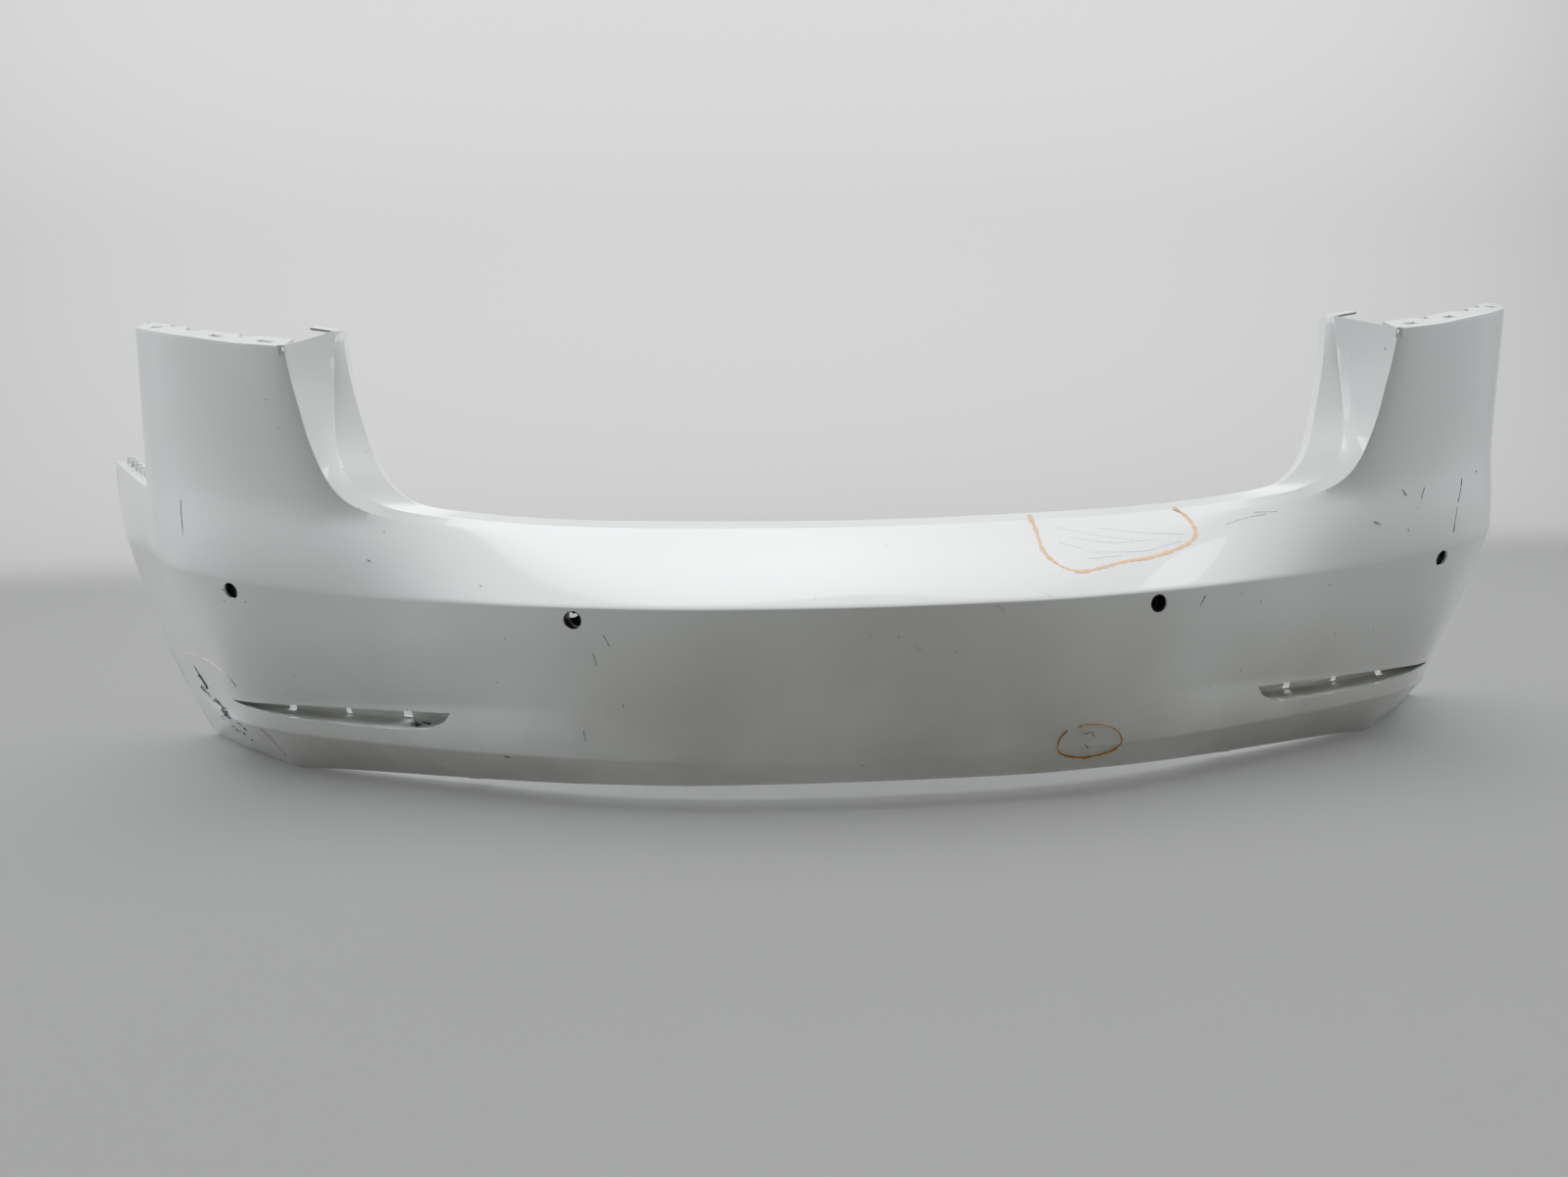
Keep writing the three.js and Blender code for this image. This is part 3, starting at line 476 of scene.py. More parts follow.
@dataclass
class CoverForm:
    """The drawn form in millimetres: depth of the painted face at any place seen from behind the car."""

    half_width: float = 938.0
    slant_from: float = 640.0
    face_bow: float = 5.0
    shelf_bow: float = 4.0
    crown_level: float = 300.0
    belt: FeatureLine = field(default_factory=lambda: FeatureLine(
        [[0, 48], [120, 58], [230, 72], [330, 82], [400, 86], [450, 88], [500, 93], [560, 105], [600, 118],
         [665, 143], [720, 174], [765, 214], [802, 268], [870, 372], [938, 480]],
        [[0, 72.6], [120, 73], [230, 75], [330, 80], [400, 87], [450, 93.7], [476, 97], [520, 104], [560, 110],
         [640, 119], [720, 127], [765, 131], [802, 134], [870, 149], [938, 165]], 938))
    ridge: FeatureLine = field(default_factory=lambda: FeatureLine(
        [[0, -30], [150, -20], [290, 4], [400, 37], [500, 76], [600, 112], [665, 137], [720, 166], [765, 206],
         [796, 259], [860, 356], [925, 462]],
        [[0, 10], [150, 10.6], [290, 13.5], [400, 17], [500, 21], [600, 29], [665, 37], [720, 45], [765, 52],
         [800, 57], [925, 70]], 925))
    crease: FeatureLine = field(default_factory=lambda: FeatureLine(
        [[0, -10], [150, -3], [290, 30], [400, 78], [500, 128], [600, 176], [665, 206], [705, 232], [722, 256],
         [752, 300], [787, 350], [821, 400], [853, 447]],
        [[0, -144], [290, -144.5], [400, -146], [500, -147], [600, -145], [665, -141], [705, -138], [752, -136],
         [853, -133]], 853))
    foot: FeatureLine = field(default_factory=lambda: FeatureLine(
        [[0, 39], [150, 46], [290, 80], [400, 128], [500, 175], [600, 226], [654, 257], [676, 283], [735, 345],
         [786, 405], [820, 446]],
        [[0, -181], [150, -181.5], [290, -184], [400, -188], [500, -191], [600, -195], [654, -199.5],
         [700, -199.5], [820, -199.5]], 820))
    crown_depth: Pairs = ((400, 62), (500, 72), (573, 86), (606, 98), (637, 113), (670, 129), (703, 146),
                          (735, 168), (760, 193), (776, 216), (802, 258))
    crown_height: Pairs = ((575, 273.5), (606, 277), (638, 281), (670, 287), (703, 293), (760, 304), (776, 308))
    ridge_half: float = 1.7
    crease_half: float = 1.6
    ridge_widen: float = 1.0
    least_break: float = 0.3
    waist: float = 12.0
    pillar_from: float = 476.0
    pillar_to: float = 802.0
    rear_most: float = -30.0
    lowest: float = -199.5
    valley_deep: float = 4.5
    valley_line: float = -95.0
    valley_fall: float = 15.0
    valley_above: float = 75.0
    valley_below: float = 42.0
    dents: Sequence[tuple] = ((-768, -131, 26, 7, 9.0), (-740, -150, 22, 12, -7.0), (-800, -112, 30, 14, 5.0),
                              (-716, -128, 14, 8, 3.0))

    def __post_init__(self) -> None:
        """Softens the lines of the crown."""
        self.crown = SoftLine(self.crown_depth, 12, mirror=False)
        self.crown_z = SoftLine(self.crown_height, 10, mirror=False)

    def to_frame(self, points: np.ndarray) -> np.ndarray:
        """Places drawn millimetres in the frame.

        Args:
            points: drawn points.

        Returns:
            The same points in metres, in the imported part's frame.
        """
        shift = np.array([0.0, cad_low.y - self.rear_most * MM, cad_low.z - self.lowest * MM])
        return np.asarray(points, float) * MM + shift

    def depth(self, x: np.ndarray, z: np.ndarray) -> np.ndarray:
        """Finds the depth of the painted face.

        Args:
            x: distance from the middle, with its sign.
            z: height.

        Returns:
            The depth, growing forward into the car.
        """
        side, x = x, np.abs(x)
        (by, bz), (ry, rz), (cy, cz), (fy, fz) = ((row.y(x), row.z(x)) for row in
                                                  (self.belt, self.ridge, self.crease, self.foot))
        up = (z - rz) / (bz - rz)
        inside = np.clip(up, 0, 1)
        shelf = ry + (by - ry) * up - self.shelf_bow * 4 * inside * (1 - inside)
        pillar = by + (self.crown(x) - by) * (z - bz) / (self.crown_level - bz)
        on_pillar = (x > self.pillar_from) & (x < self.pillar_to)
        hollow = self.waist * smooth_step(x, 480, 600) * (1 - smooth_step(x, 765, 800))
        top = np.where(on_pillar, -soft_max(-shelf, -pillar, hollow), shelf)
        down = (rz - z) / (rz - cz)
        inside = np.clip(down, -0.05, 1.05)
        face = ry + (cy - ry) * down - self.face_bow * 4 * inside * (1 - inside)
        steep, fall, below = (cy - ry) / (rz - cz), (fy - cy) / (cz - fz), cz - z
        face = np.where(below < 0, face, cy + np.minimum(steep, fall - self.least_break) * below)
        bend = np.maximum((by - ry) / (bz - rz) + (cy - ry - 4 * self.face_bow) / (rz - cz), 0.1)
        out = soft_max(top, face, bend * (self.ridge_half + self.ridge_widen * (x / self.half_width) ** 2))
        fall = np.where(below < 0, np.maximum(fall, steep + self.least_break), fall)
        lower = cy + fall * below
        bend = np.maximum((fy - cy) / (cz - fz) - (cy - ry + 4 * self.face_bow) / (rz - cz), 0.1)
        return soft_max(out, lower, bend * self.crease_half) + self.hollow(x, z) + self.knocks(side, z)

    def hollow(self, x: np.ndarray, z: np.ndarray) -> np.ndarray:
        """The shallow valley that carries on from the upper edges of the reflector pockets.

        Args:
            x: distance from the middle, without its sign.
            z: height.

        Returns:
            How far the skin lies in at that place.
        """
        line = self.valley_line - self.valley_fall * smooth_step(x, 340, 760)
        fade = smooth_step(x, 250, 430) * (1 - smooth_step(x, 735, 800))
        off = np.abs(z - line)
        reach = np.where(z > line, self.valley_above, self.valley_below)
        return self.valley_deep * fade * np.clip(1 - off / reach, 0, 1) ** 1.3

    def knocks(self, x: np.ndarray, z: np.ndarray) -> np.ndarray:
        """The dents of the left lower corner, as a change of depth.

        Args:
            x: distance from the middle, with its sign.
            z: height.

        Returns:
            How far the skin is pushed in at that place.
        """
        push = np.zeros(np.broadcast(x, z).shape)
        for cx, cz, wide, tall, deep in self.dents:
            push += deep * np.exp(-((x - cx) / wide) ** 2 - ((z - cz) / tall) ** 2)
        return push

    def on_face(self, points: Drawn, stand: float = 0.0) -> np.ndarray:
        """Lays drawn points on the painted face.

        Args:
            points: pairs of distance from the middle and height.
            stand: how far they stand proud of the paint.

        Returns:
            Points in millimetres.
        """
        x, z = np.array(points, float).T
        return np.stack([x, self.depth(x, z) - stand, z], -1)


# ---------------------------------------------------------------- mesh helpers


def grid_faces(rows: int, columns: int) -> np.ndarray:
    """Numbers the quads of a grid.

    Args:
        rows: how many rows of points.
        columns: how many points in a row.

    Returns:
        Four corner numbers for each quad.
    """
    a = (np.arange(rows - 1)[:, None] * columns + np.arange(columns - 1)).ravel()
    return np.stack([a, a + columns, a + columns + 1, a + 1], -1)


def make_object(name: str, points: np.ndarray, faces: Sequence, finishes: Sequence[Palette]) -> bpy.types.Object:
    """Makes a mesh object at the origin.

    Args:
        name: the object's name.
        points: its corners in metres.
        faces: corner numbers of each face.
        finishes: its materials.

    Returns:
        The object, linked to the scene.
    """
    mesh = bpy.data.meshes.new(name)
    mesh.from_pydata([tuple(p) for p in points], [], [tuple(int(i) for i in f) for f in faces])
    for finish in finishes:
        mesh.materials.append(finish.material())
    made = bpy.data.objects.new(name, mesh)
    bpy.context.scene.collection.objects.link(made)
    return made


def prism(place: Matrix, outline: Drawn, half: float) -> Solid:
    """Makes a closed prism.

    Args:
        place: its place in metres, with Z along the prism.
        outline: its corners in millimetres, anticlockwise about Z.
        half: half its length in millimetres.

    Returns:
        Its corners and faces.
    """
    count = len(outline)
    corners = [place @ Vector((x * MM, y * MM, end * half * MM)) for end in (-1, 1) for x, y in outline]
    walls = [(k, (k + 1) % count, count + (k + 1) % count, count + k) for k in range(count)]
    return corners, walls + [tuple(range(count))[::-1], tuple(range(count, 2 * count))]


def box(place: Matrix, size: Sequence[float]) -> Solid:
    """Returns the corners and faces of a box with its middle at a place, its sides in millimetres."""
    across, deep, tall = (side / 2 for side in size)
    return prism(place, ((-across, -deep), (across, -deep), (across, deep), (-across, deep)), tall)


def rod(place: Matrix, radius: float, half: float, sides: int = 48) -> Solid:
    """Returns the corners and faces of a round rod along Z, its sizes in millimetres."""
    turns = [2 * math.pi * k / sides for k in range(sides)]
    return prism(place, [(radius * math.cos(turn), radius * math.sin(turn)) for turn in turns], half)


def settle(piece: bpy.types.Object) -> bpy.types.Object:
    """Turns a piece with modifiers into a plain mesh of the same name.

    Args:
        piece: the piece.

    Returns:
        The same object with its finished mesh and no modifier.
    """
    graph = bpy.context.evaluated_depsgraph_get()
    mesh = bpy.data.meshes.new_from_object(piece.evaluated_get(graph))
    piece.modifiers.clear()
    piece.data = mesh
    return piece


def smooth(piece: bpy.types.Object, angle: float = 32.0) -> None:
    """Shades a piece smooth, with sharp edges past an angle in degrees."""
    piece.data.shade_smooth()
    piece.data.set_sharp_from_angle(angle=math.radians(angle))


def close(piece: bpy.types.Object, outward: bool = True) -> None:
    """Merges doubles and turns the faces of a piece outwards.

    Args:
        piece: the piece.
        outward: whether the faces are also turned.
    """
    work = bmesh.new()
    work.from_mesh(piece.data)
    bmesh.ops.remove_doubles(work, verts=work.verts, dist=1e-5)
    bmesh.ops.dissolve_degenerate(work, dist=1e-6, edges=work.edges)
    if outward:
        bmesh.ops.recalc_face_normals(work, faces=work.faces)
    work.to_mesh(piece.data)
    work.free()


def cut(piece: bpy.types.Object, tool: bpy.types.Object, operation: str = "DIFFERENCE") -> None:
    """Cuts a piece with a tool, or joins the tool to it, and removes the tool.

    Args:
        piece: the piece that changes.
        tool: the closed tool body.
        operation: DIFFERENCE or UNION.
    """
    step = piece.modifiers.new("cut", "BOOLEAN")
    step.operation, step.object, step.solver = operation, tool, "MANIFOLD"
    settle(piece)
    bpy.data.objects.remove(tool)


def adopt(piece: bpy.types.Object, slot: str, *nodes: str) -> None:
    """Hands a finished piece to the frame.

    Args:
        piece: the finished piece.
        slot: not used.
        nodes: the CAD nodes that it stands for.
    """
    if nodes:
        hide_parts(*nodes)
    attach(piece, "root")
    log.info("%s: %d faces", piece.name, len(piece.data.polygons))


# ---------------------------------------------------------------- the skin


@dataclass
class Skin:
    """The moulded and painted skin, with its turned-in flanges, reflector pockets and holes."""

    form: CoverForm
    wall: float = 2.8
    edge_round: float = 1.6
    rear_flange: float = 24.0
    top_flange: float = 30.0
    top_rise: float = 10.0
    side_flange: float = 26.0
    lamp_flange: float = 14.0
    wing_flange: float = 28.0
    arch_flange: float = 26.0
    foot_flange: float = 20.0
    hole_radius: float = 9.2
    sensor_x: tuple[float, float] = (289.5, 665.0)
    sensor_drop: float = 13.5
    pocket_deep: float = 20.0
    pocket_wall: float = 2.4
    pocket_lip: float = 1.0
    pocket_clear: float = 14.0
    pocket_from: float = 428.0
    pocket_long: float = 278.0
    pocket_top: float = -103.5
    pocket_fall: float = 6.5
    pocket_foot_from: float = 450.0
    pocket_foot_long: float = 256.0
    pocket_foot: Pairs = ((450, -121), (458, -124.5), (480, -126.6), (520, -127.5), (600, -125.5), (660, -119.5),
                          (706, -111.5))
    slots: Sequence[tuple] = ((484, 11, 7.4), (557, 6.6, 6.2), (629, 10, 6.4))
    slot_drop: float = 7.4
    slot_turn: float = 0.42
    crown_windows: Drawn = ((600, 20), (660, 16), (742, 18))
    crown_turn: float = 0.45
    crown_bites: Drawn = ((628, 9), (690, 13), (718, 8), (765, 7))
    wing_windows: int = 6
    window: tuple[float, float, float] = (12.0, 9.0, 14.0)
    inward: tuple[float, float] = (-0.84, 0.54)
    root_notch: tuple[float, float, float] = (562.0, 150.0, 300.0)
    root_hole: tuple[float, float, float] = (578.0, 88.0, 276.0)
    root_hole_radius: float = 6.5
    shelf_run: Sequence = (
        (0, (0, 60, 80), (0, 95, 85)), (230, (230, 83, 83), (230, 106, 89)), (330, (329, 92, 88), (327, 108, 94)),
        (400, (398, 95, 95), (393, 109, 101)), (450, (447, 94, 101.5), (431, 107, 106.5)),
        (476, (472, 95, 106), (452, 106.5, 111)))
    inner_edge: Drawn = ((495, 102.5), (512, 109), (527, 118), (540, 133), (547, 146), (552.5, 161), (560, 185),
                         (566, 215), (571.5, 243), (575, 273.5))
    return_run: Sequence = (
        ((490, 98, 111.5), (465, 108, 117.5)), ((506, 102, 119), (478, 111, 126.5)),
        ((519, 107, 131), (489, 116.5, 138.5)), ((530, 114, 147), (498, 124.5, 152)),
        ((537, 122, 157), (503.5, 130.5, 162)), ((541.5, 130, 168), (508, 136.5, 173)),
        ((546.5, 142, 187), (515, 144.5, 189)), ((549.5, 154, 215), (526, 157.5, 220)),
        ((551, 165, 243), (535.5, 168, 252)), ((549.5, 175, 297), (545, 186, 299)))
    outer_edge: Drawn = ((134, 802), (165, 797), (200, 793), (250, 785), (308, 776))
    fine: Sequence[float] = (0, 0.8, 1.7, 2.8, 4.4, 7.0)
    near_ridge: Sequence[float] = (0.07, 0.15, 0.24, 0.34, 0.45, 0.56, 0.67, 0.78, 0.89, 1)
    down_face: Sequence[float] = (0.05, 0.1, 0.16, 0.22, 0.28, 0.34, 0.4, 0.46, 0.52, 0.57, 0.61, 0.64, 0.67, 0.70,
                                  0.73, 0.76, 0.8, 0.84, 0.88, 0.92, 0.96, 1)
    down_foot: Sequence[float] = (0.12, 0.25, 0.4, 0.55, 0.7, 0.85, 1)

    def __post_init__(self) -> None:
        """Lays out the stations and the lines of the boot opening."""
        self.shelf_x = np.linspace(0, self.form.pillar_from, 61)
        self.pillar_x = np.linspace(self.form.pillar_from, self.form.pillar_to, 56)
        self.wing_x = np.linspace(self.form.pillar_to, self.form.half_width, 25)
        form = self.form
        controls = [(x, float(form.belt.z(x))) for x in (0, 120, 230, 330, 400, 450, 476)] + list(self.inner_edge)
        pts = np.array(controls)
        along = np.concatenate([[0], np.cumsum(np.hypot(*np.diff(pts, axis=0).T))])
        self.run_end = along[-1]
        fold_at = along[[0, 2, 3, 4, 5, 6, *range(7, len(along))]]
        self.edge_x = SoftLine(list(zip(along, pts[:, 0])), 5, odd=True)
        self.edge_z = SoftLine(list(zip(along, pts[:, 1])), 5)
        folds = [[row[k + 1] for row in self.shelf_run] + [row[k] for row in self.return_run] for k in (0, 1)]
        self.folds = [[SoftLine(list(zip(fold_at, [p[axis] for p in fold])), 13, odd=axis == 0)
                       for axis in range(3)] for fold in folds]

    def row_point(self, row: FeatureLine, station: np.ndarray) -> np.ndarray:
        """Finds points of a feature line.

        Args:
            row: the line.
            station: the stations.

        Returns:
            Pairs of distance from the middle and height.
        """
        x = row.place(station, self.form.slant_from, self.form.half_width)
        return np.stack([x, row.z(x)], -1)

    def lift(self, flat: np.ndarray) -> np.ndarray:
        """Gives drawn (x, z) places their depth.

        Args:
            flat: places as x and z.

        Returns:
            Points as x, y and z.
        """
        return np.stack([flat[..., 0], self.form.depth(flat[..., 0], flat[..., 1]), flat[..., 1]], -1)

    @staticmethod
    def between(a: np.ndarray, b: np.ndarray, shares: Sequence[float]) -> np.ndarray:
        """Fills rows of points between two lines.

        Args:
            a: the first line.
            b: the second line.
            shares: how far along each row lies.

        Returns:
            One row of points for each share.
        """
        t = np.array(shares, float)[:, None, None]
        return a[None] * (1 - t) + b[None] * t

    def rows(self, a: np.ndarray, b: np.ndarray, shares: Sequence[float], both: bool = False) -> np.ndarray:
        """Fills rows between two lines, with fine rows of a real size beside the first line.

        Args:
            a: the first line, which is a rounded edge.
            b: the second line.
            shares: how far along each coarse row lies, past the fine ones.
            both: whether the second line is a rounded edge too.

        Returns:
            The rows of points.
        """
        long = np.hypot(*(b - a).T)[None]
        near = np.array(self.fine)[:, None] / long
        far = 1 - (near[:-1][::-1] if both else 0 * near[:1])
        t = np.array(shares)[:-1, None]
        mid = near[-1:] + t * ((1 - near[-1:] if both else 1.0) - near[-1:])
        t = np.concatenate([near, mid, far])[..., None]
        return a[None] * (1 - t) + b[None] * t

    def patches(self) -> list[np.ndarray]:
        """Draws the right half of the skin as grids that share their borders.

        Returns:
            The grids, each as rows of points.
        """
        form = self.form
        stations = np.concatenate([self.shelf_x, self.pillar_x[1:], self.wing_x[1:]])
        belt, ridge, crease, foot = (self.row_point(row, stations) for row in
                                     (form.belt, form.ridge, form.crease, form.foot))
        face = self.lift(self.rows(ridge, crease, self.down_face, both=True))
        lower = self.lift(self.rows(crease, foot, self.down_foot))
        split = len(self.shelf_x) + len(self.pillar_x) - 2
        wing = self.lift(self.rows(ridge[split:], belt[split:], self.near_ridge))

        # shelf and pillar: one fan from the ridge and the pillar's outer border to the front edge
        column = self.rows(ridge[split:split + 1], belt[split:split + 1], self.near_ridge)[1:, 0]
        heights = np.linspace(self.outer_edge[0][0], self.outer_edge[-1][0], 25)[1:]
        heights = heights + (belt[split][1] - self.outer_edge[0][0]) * (1 - (heights - 134) / 174)
        outer = np.stack([hermite(self.outer_edge, heights), heights], -1)
        outer[:, 0] += (belt[split][0] - 802) * (1 - (heights - heights[0]) / (heights[-1] - heights[0]))
        far = np.concatenate([ridge[:split + 1], column, outer])
        bend = len(self.shelf_x) - 1
        start = form.pillar_from
        run = np.concatenate([self.shelf_x, start + (self.run_end - start) * self.spread(len(far) - bend)[1:]])
        edge = np.stack([self.edge_x(run), self.edge_z(run)], -1)
        edge[:bend + 1, 1] = form.belt.z(edge[:bend + 1, 0])
        fan = self.rows(far, edge, self.near_ridge)
        top_line = np.interp(fan[..., 0], [edge[-1, 0], far[-1, 0]], [edge[-1, 1], far[-1, 1]])
        share = np.clip((fan[..., 1] - 150) / np.maximum(top_line - 150, 1), 0, 1)
        share = share * smooth_step(fan[..., 0], 560, 600) * (fan[..., 1] > 150)
        fan[..., 1] += share**3 * (form.crown_z(np.clip(fan[..., 0], 575, 776)) - top_line)
        fan = self.lift(fan)

        # returns of the boot opening, with a first and a second fold, and the flange behind them
        first, second = (np.stack([line(run) for line in fold], -1) for fold in self.folds)
        reach = np.where(run < start, 1.0, 0.6)[:, None] * np.array([[0, self.rear_flange, 0]])
        rear = second + reach - np.array([[0, 0, 3.0]])
        returns = np.concatenate([
            self.between(fan[-1], first, (0, 0.05, 0.3, 0.65, 0.95)),
            self.between(first, second, (0, 0.06, 0.25, 0.5, 0.75, 0.94)),
            self.between(second, rear, (0, 0.08, 0.35, 0.7, 1))])

        shares = (0, 0.2, 0.45, 0.72, 1)
        crown = fan[:, -1]
        top = self.between(crown, crown + [0, self.top_flange, self.top_rise], shares)
        brow = returns[5:12, -1]
        side = self.between(brow, brow + [self.side_flange, 0, 4], shares)
        lamp_root = fan[0, split + len(column):]
        lamp = self.between(lamp_root, lamp_root + [-4, self.lamp_flange, 0], (0, 0.35, 0.7, 1))
        wing_root = wing[-1]
        inward = np.array([*self.inward, 0]) * self.wing_flange
        ledge = self.between(wing_root, wing_root + inward, shares)
        arch_root = np.concatenate([wing[::-1, -1], face[1:, -1], lower[1:, -1]])
        arch = self.between(arch_root[1:-1], arch_root[1:-1] + [-self.arch_flange, 6, 0], shares)
        under = self.between(lower[-1, :-1], lower[-1, :-1] + [0, self.foot_flange, 0], (0, 0.3, 0.65, 1))
        return [face, lower, wing, fan, returns, top, side, lamp, ledge, arch, under]

    @staticmethod
    def spread(count: int) -> np.ndarray:
        """Returns shares from nought to one that start fine and widen gently."""
        t = np.linspace(0, 1, count)
        return 0.25 * t * t + 0.75 * t

    def sheet(self) -> bpy.types.Object:
        """Joins both halves into one open sheet with its outside towards the eye.

        Returns:
            The sheet.
        """
        points, faces, count = [], [], 0
        for patch in self.patches():
            for sign in (1, -1):
                side = patch * np.array([sign, 1, 1])
                if sign < 0:
                    side[..., 1] = np.where(self.is_face(patch), self.form.depth(side[..., 0], side[..., 2]),
                                            side[..., 1])
                quads = grid_faces(*patch.shape[:2]) + count
                faces.extend(quads if sign > 0 else quads[:, ::-1])
                points.append(side.reshape(-1, 3))
                count += patch.shape[0] * patch.shape[1]
        made = make_object("skin_paint", self.form.to_frame(np.concatenate(points)), faces, (Palette.PAINT,
                                                                                            Palette.BACK))
        close(made)
        middle = min(made.data.polygons, key=lambda f: (f.center - Vector((0, cad_low.y, cad_low.z + 0.13))).length)
        if middle.normal.y > 0:
            made.data.flip_normals()
        return made

    def is_face(self, patch: np.ndarray) -> np.ndarray:
        """Tells which points of a patch lie on the painted face."""
        return np.abs(self.form.depth(patch[..., 0], patch[..., 2]) - patch[..., 1]) < 1e-6

    def frame_on_face(self, x: float, z: float, sink: float = 0.0) -> Matrix:
        """Finds a frame on the painted face, with its Z going in square to the face.

        Args:
            x: distance from the middle.
            z: height.
            sink: how far behind the paint its origin lies.

        Returns:
            The frame.
        """
        step = 4.0
        depth = self.form.depth
        grade_x = float(depth(x + step, z) - depth(x - step, z)) / (2 * step)
        grade_z = float(depth(x, z + step) - depth(x, z - step)) / (2 * step)
        inward = Vector((-grade_x, 1, -grade_z)).normalized()
        up = Vector((0, 0, 1))
        across = up.cross(inward).normalized()
        turn = Matrix((across, inward.cross(across), inward)).transposed().to_4x4()
        origin = Vector(self.form.to_frame([x, float(depth(x, z)), z])) + inward * sink * MM
        return Matrix.Translation(origin) @ turn

    def body(self, name: str, parts: Sequence[Solid]) -> bpy.types.Object:
        """Makes one tool of several closed bodies.

        Args:
            name: the tool's name.
            parts: corners and faces of each body.

        Returns:
            The tool.
        """
        points, faces = [], []
        for corners, sides in parts:
            faces += [tuple(i + len(points) for i in f) for f in sides]
            points += corners
        made = make_object(name, points, faces, ())
        close(made)
        return made

    def trough(self, sign: int, grow: float, near: float, deep: Callable[[np.ndarray], np.ndarray],
               name: str) -> bpy.types.Object:
        """Makes the room or the cup of a reflector pocket.

        Args:
            sign: -1 for the left pocket, 1 for the right.
            grow: how much larger than the pocket the body is.
            near: how far its open side stands behind the paint.
            deep: its depth from the upper edge, 0, to the lower, 1.
            name: the body's name.

        Returns:
            The closed body.
        """
        across, down = 56, 22
        u = np.linspace(0, 1, across + 1)[:, None]
        v = np.linspace(0, 1, down + 1)[None]
        x_top = self.pocket_from - grow + u * (self.pocket_long + 2 * grow)
        x_foot = self.pocket_foot_from - grow + u * (self.pocket_foot_long + 2 * grow)
        z_top = self.pocket_edge(x_top) + 0.8 * grow
        z_foot = SoftLine(self.pocket_foot, 4, mirror=False)(x_foot) - 0.8 * grow
        corner = smooth_step(v, 0.55, 1.0)
        x = x_top + (x_foot - x_top) * (0.6 * v + 0.4 * v * corner)
        z = z_top + (z_foot - z_top) * v
        face = self.form.depth(sign * x, z)
        front = np.stack([sign * x, face + near + 0 * v, z], -1)
        back = np.stack([sign * x, face + deep(v) + 0 * u, z], -1)
        rows, columns = front.shape[:2]
        top = grid_faces(rows, columns)
        count = rows * columns
        rim = ([k * columns for k in range(rows)] + [(rows - 1) * columns + k for k in range(1, columns)]
               + [k * columns + columns - 1 for k in range(rows - 2, -1, -1)] + list(range(columns - 2, 0, -1)))
        walls = [(a, b, b + count, a + count) for a, b in zip(rim, rim[1:] + rim[:1])]
        points = self.form.to_frame(np.concatenate([front.reshape(-1, 3), back.reshape(-1, 3)]))
        made = make_object(name, points, [*top, *(top[:, ::-1] + count), *walls], (Palette.PAINT, Palette.BACK))
        close(made)
        made.data.polygons.foreach_set("material_index", [int(name == "cup")] * len(made.data.polygons))
        return made

    def pocket_edge(self, x: np.ndarray | float) -> np.ndarray | float:
        """Returns the height of a pocket's upper edge."""
        return self.pocket_top - self.pocket_fall * (x - self.pocket_from) / self.pocket_long

    def floor_line(self, v: np.ndarray) -> np.ndarray:
        """The pocket's depth: a flat floor above, then a hollow slope that comes out to the lower rim."""
        rise = np.clip((v - 0.52) / 0.5, 0, 1) ** 1.7
        return self.pocket_deep * (1 - 0.9 * rise)

    def holes(self) -> bpy.types.Object:
        """Makes the tool for sensor holes, slots, windows and screw holes.

        Returns:
            The tool, one object of many closed bodies.
        """
        form, parts = self.form, []
        for sign in (-1, 1):
            for x in self.sensor_x:
                spot = self.frame_on_face(sign * x, float(form.ridge.z(x)) - self.sensor_drop)
                parts.append(rod(spot, self.hole_radius, 12))
            for x, wide, tall in self.slots:
                z = self.pocket_edge(x) - self.slot_drop
                spot = Matrix.Translation(form.to_frame([sign * x, float(form.depth(sign * x, z)) + self.pocket_deep,
                                                         z]))
                parts.append(box(spot @ Matrix.Rotation(sign * self.slot_turn, 4, "Z"), (wide, 14, tall)))
            for x, wide in self.crown_windows:
                y = float(form.crown(x)) + self.top_flange * 0.5
                z = float(form.crown_z(x)) + self.top_rise * 0.5
                turn = Matrix.Rotation(sign * self.crown_turn, 4, "Z")
                parts.append(box(Matrix.Translation(form.to_frame([sign * x, y, z])) @ turn, (wide, 8, 14)))
            mirror = np.array([sign, 1, 1])
            parts.append(box(Matrix.Translation(form.to_frame(mirror * self.root_notch)), (9, 16, 14)))
            parts.append(rod(Matrix.Translation(form.to_frame(mirror * self.root_hole)), self.root_hole_radius, 12))
            for k in range(self.wing_windows):
                x = form.pillar_to + (form.half_width - form.pillar_to) * (k + 0.7) / (self.wing_windows + 0.2)
                root = np.array([x, float(form.belt.y(x)), float(form.belt.z(x))])
                centre = mirror * (root + np.array([*self.inward, 0]) * self.wing_flange * 0.5)
                turn = Matrix.Rotation(sign * math.atan2(-self.inward[0], self.inward[1]), 4, "Z")
                parts.append(box(Matrix.Translation(form.to_frame(centre)) @ turn, self.window))
        return self.body("hole_tool", parts)

    def scallops(self) -> bpy.types.Object:
        """Makes the tool that takes bites out of the back edge of the pillar-top flanges.

        Returns:
            The tool.
        """
        form, parts = self.form, []
        for sign in (-1, 1):
            for x, radius in self.crown_bites:
                y = float(form.crown(x)) + self.top_flange + radius * 0.25
                spot = Matrix.Translation(form.to_frame([sign * x, y, float(form.crown_z(x)) + self.top_rise]))
                parts.append(rod(spot, radius, 10, 32))
        return self.body("scallop_tool", parts)

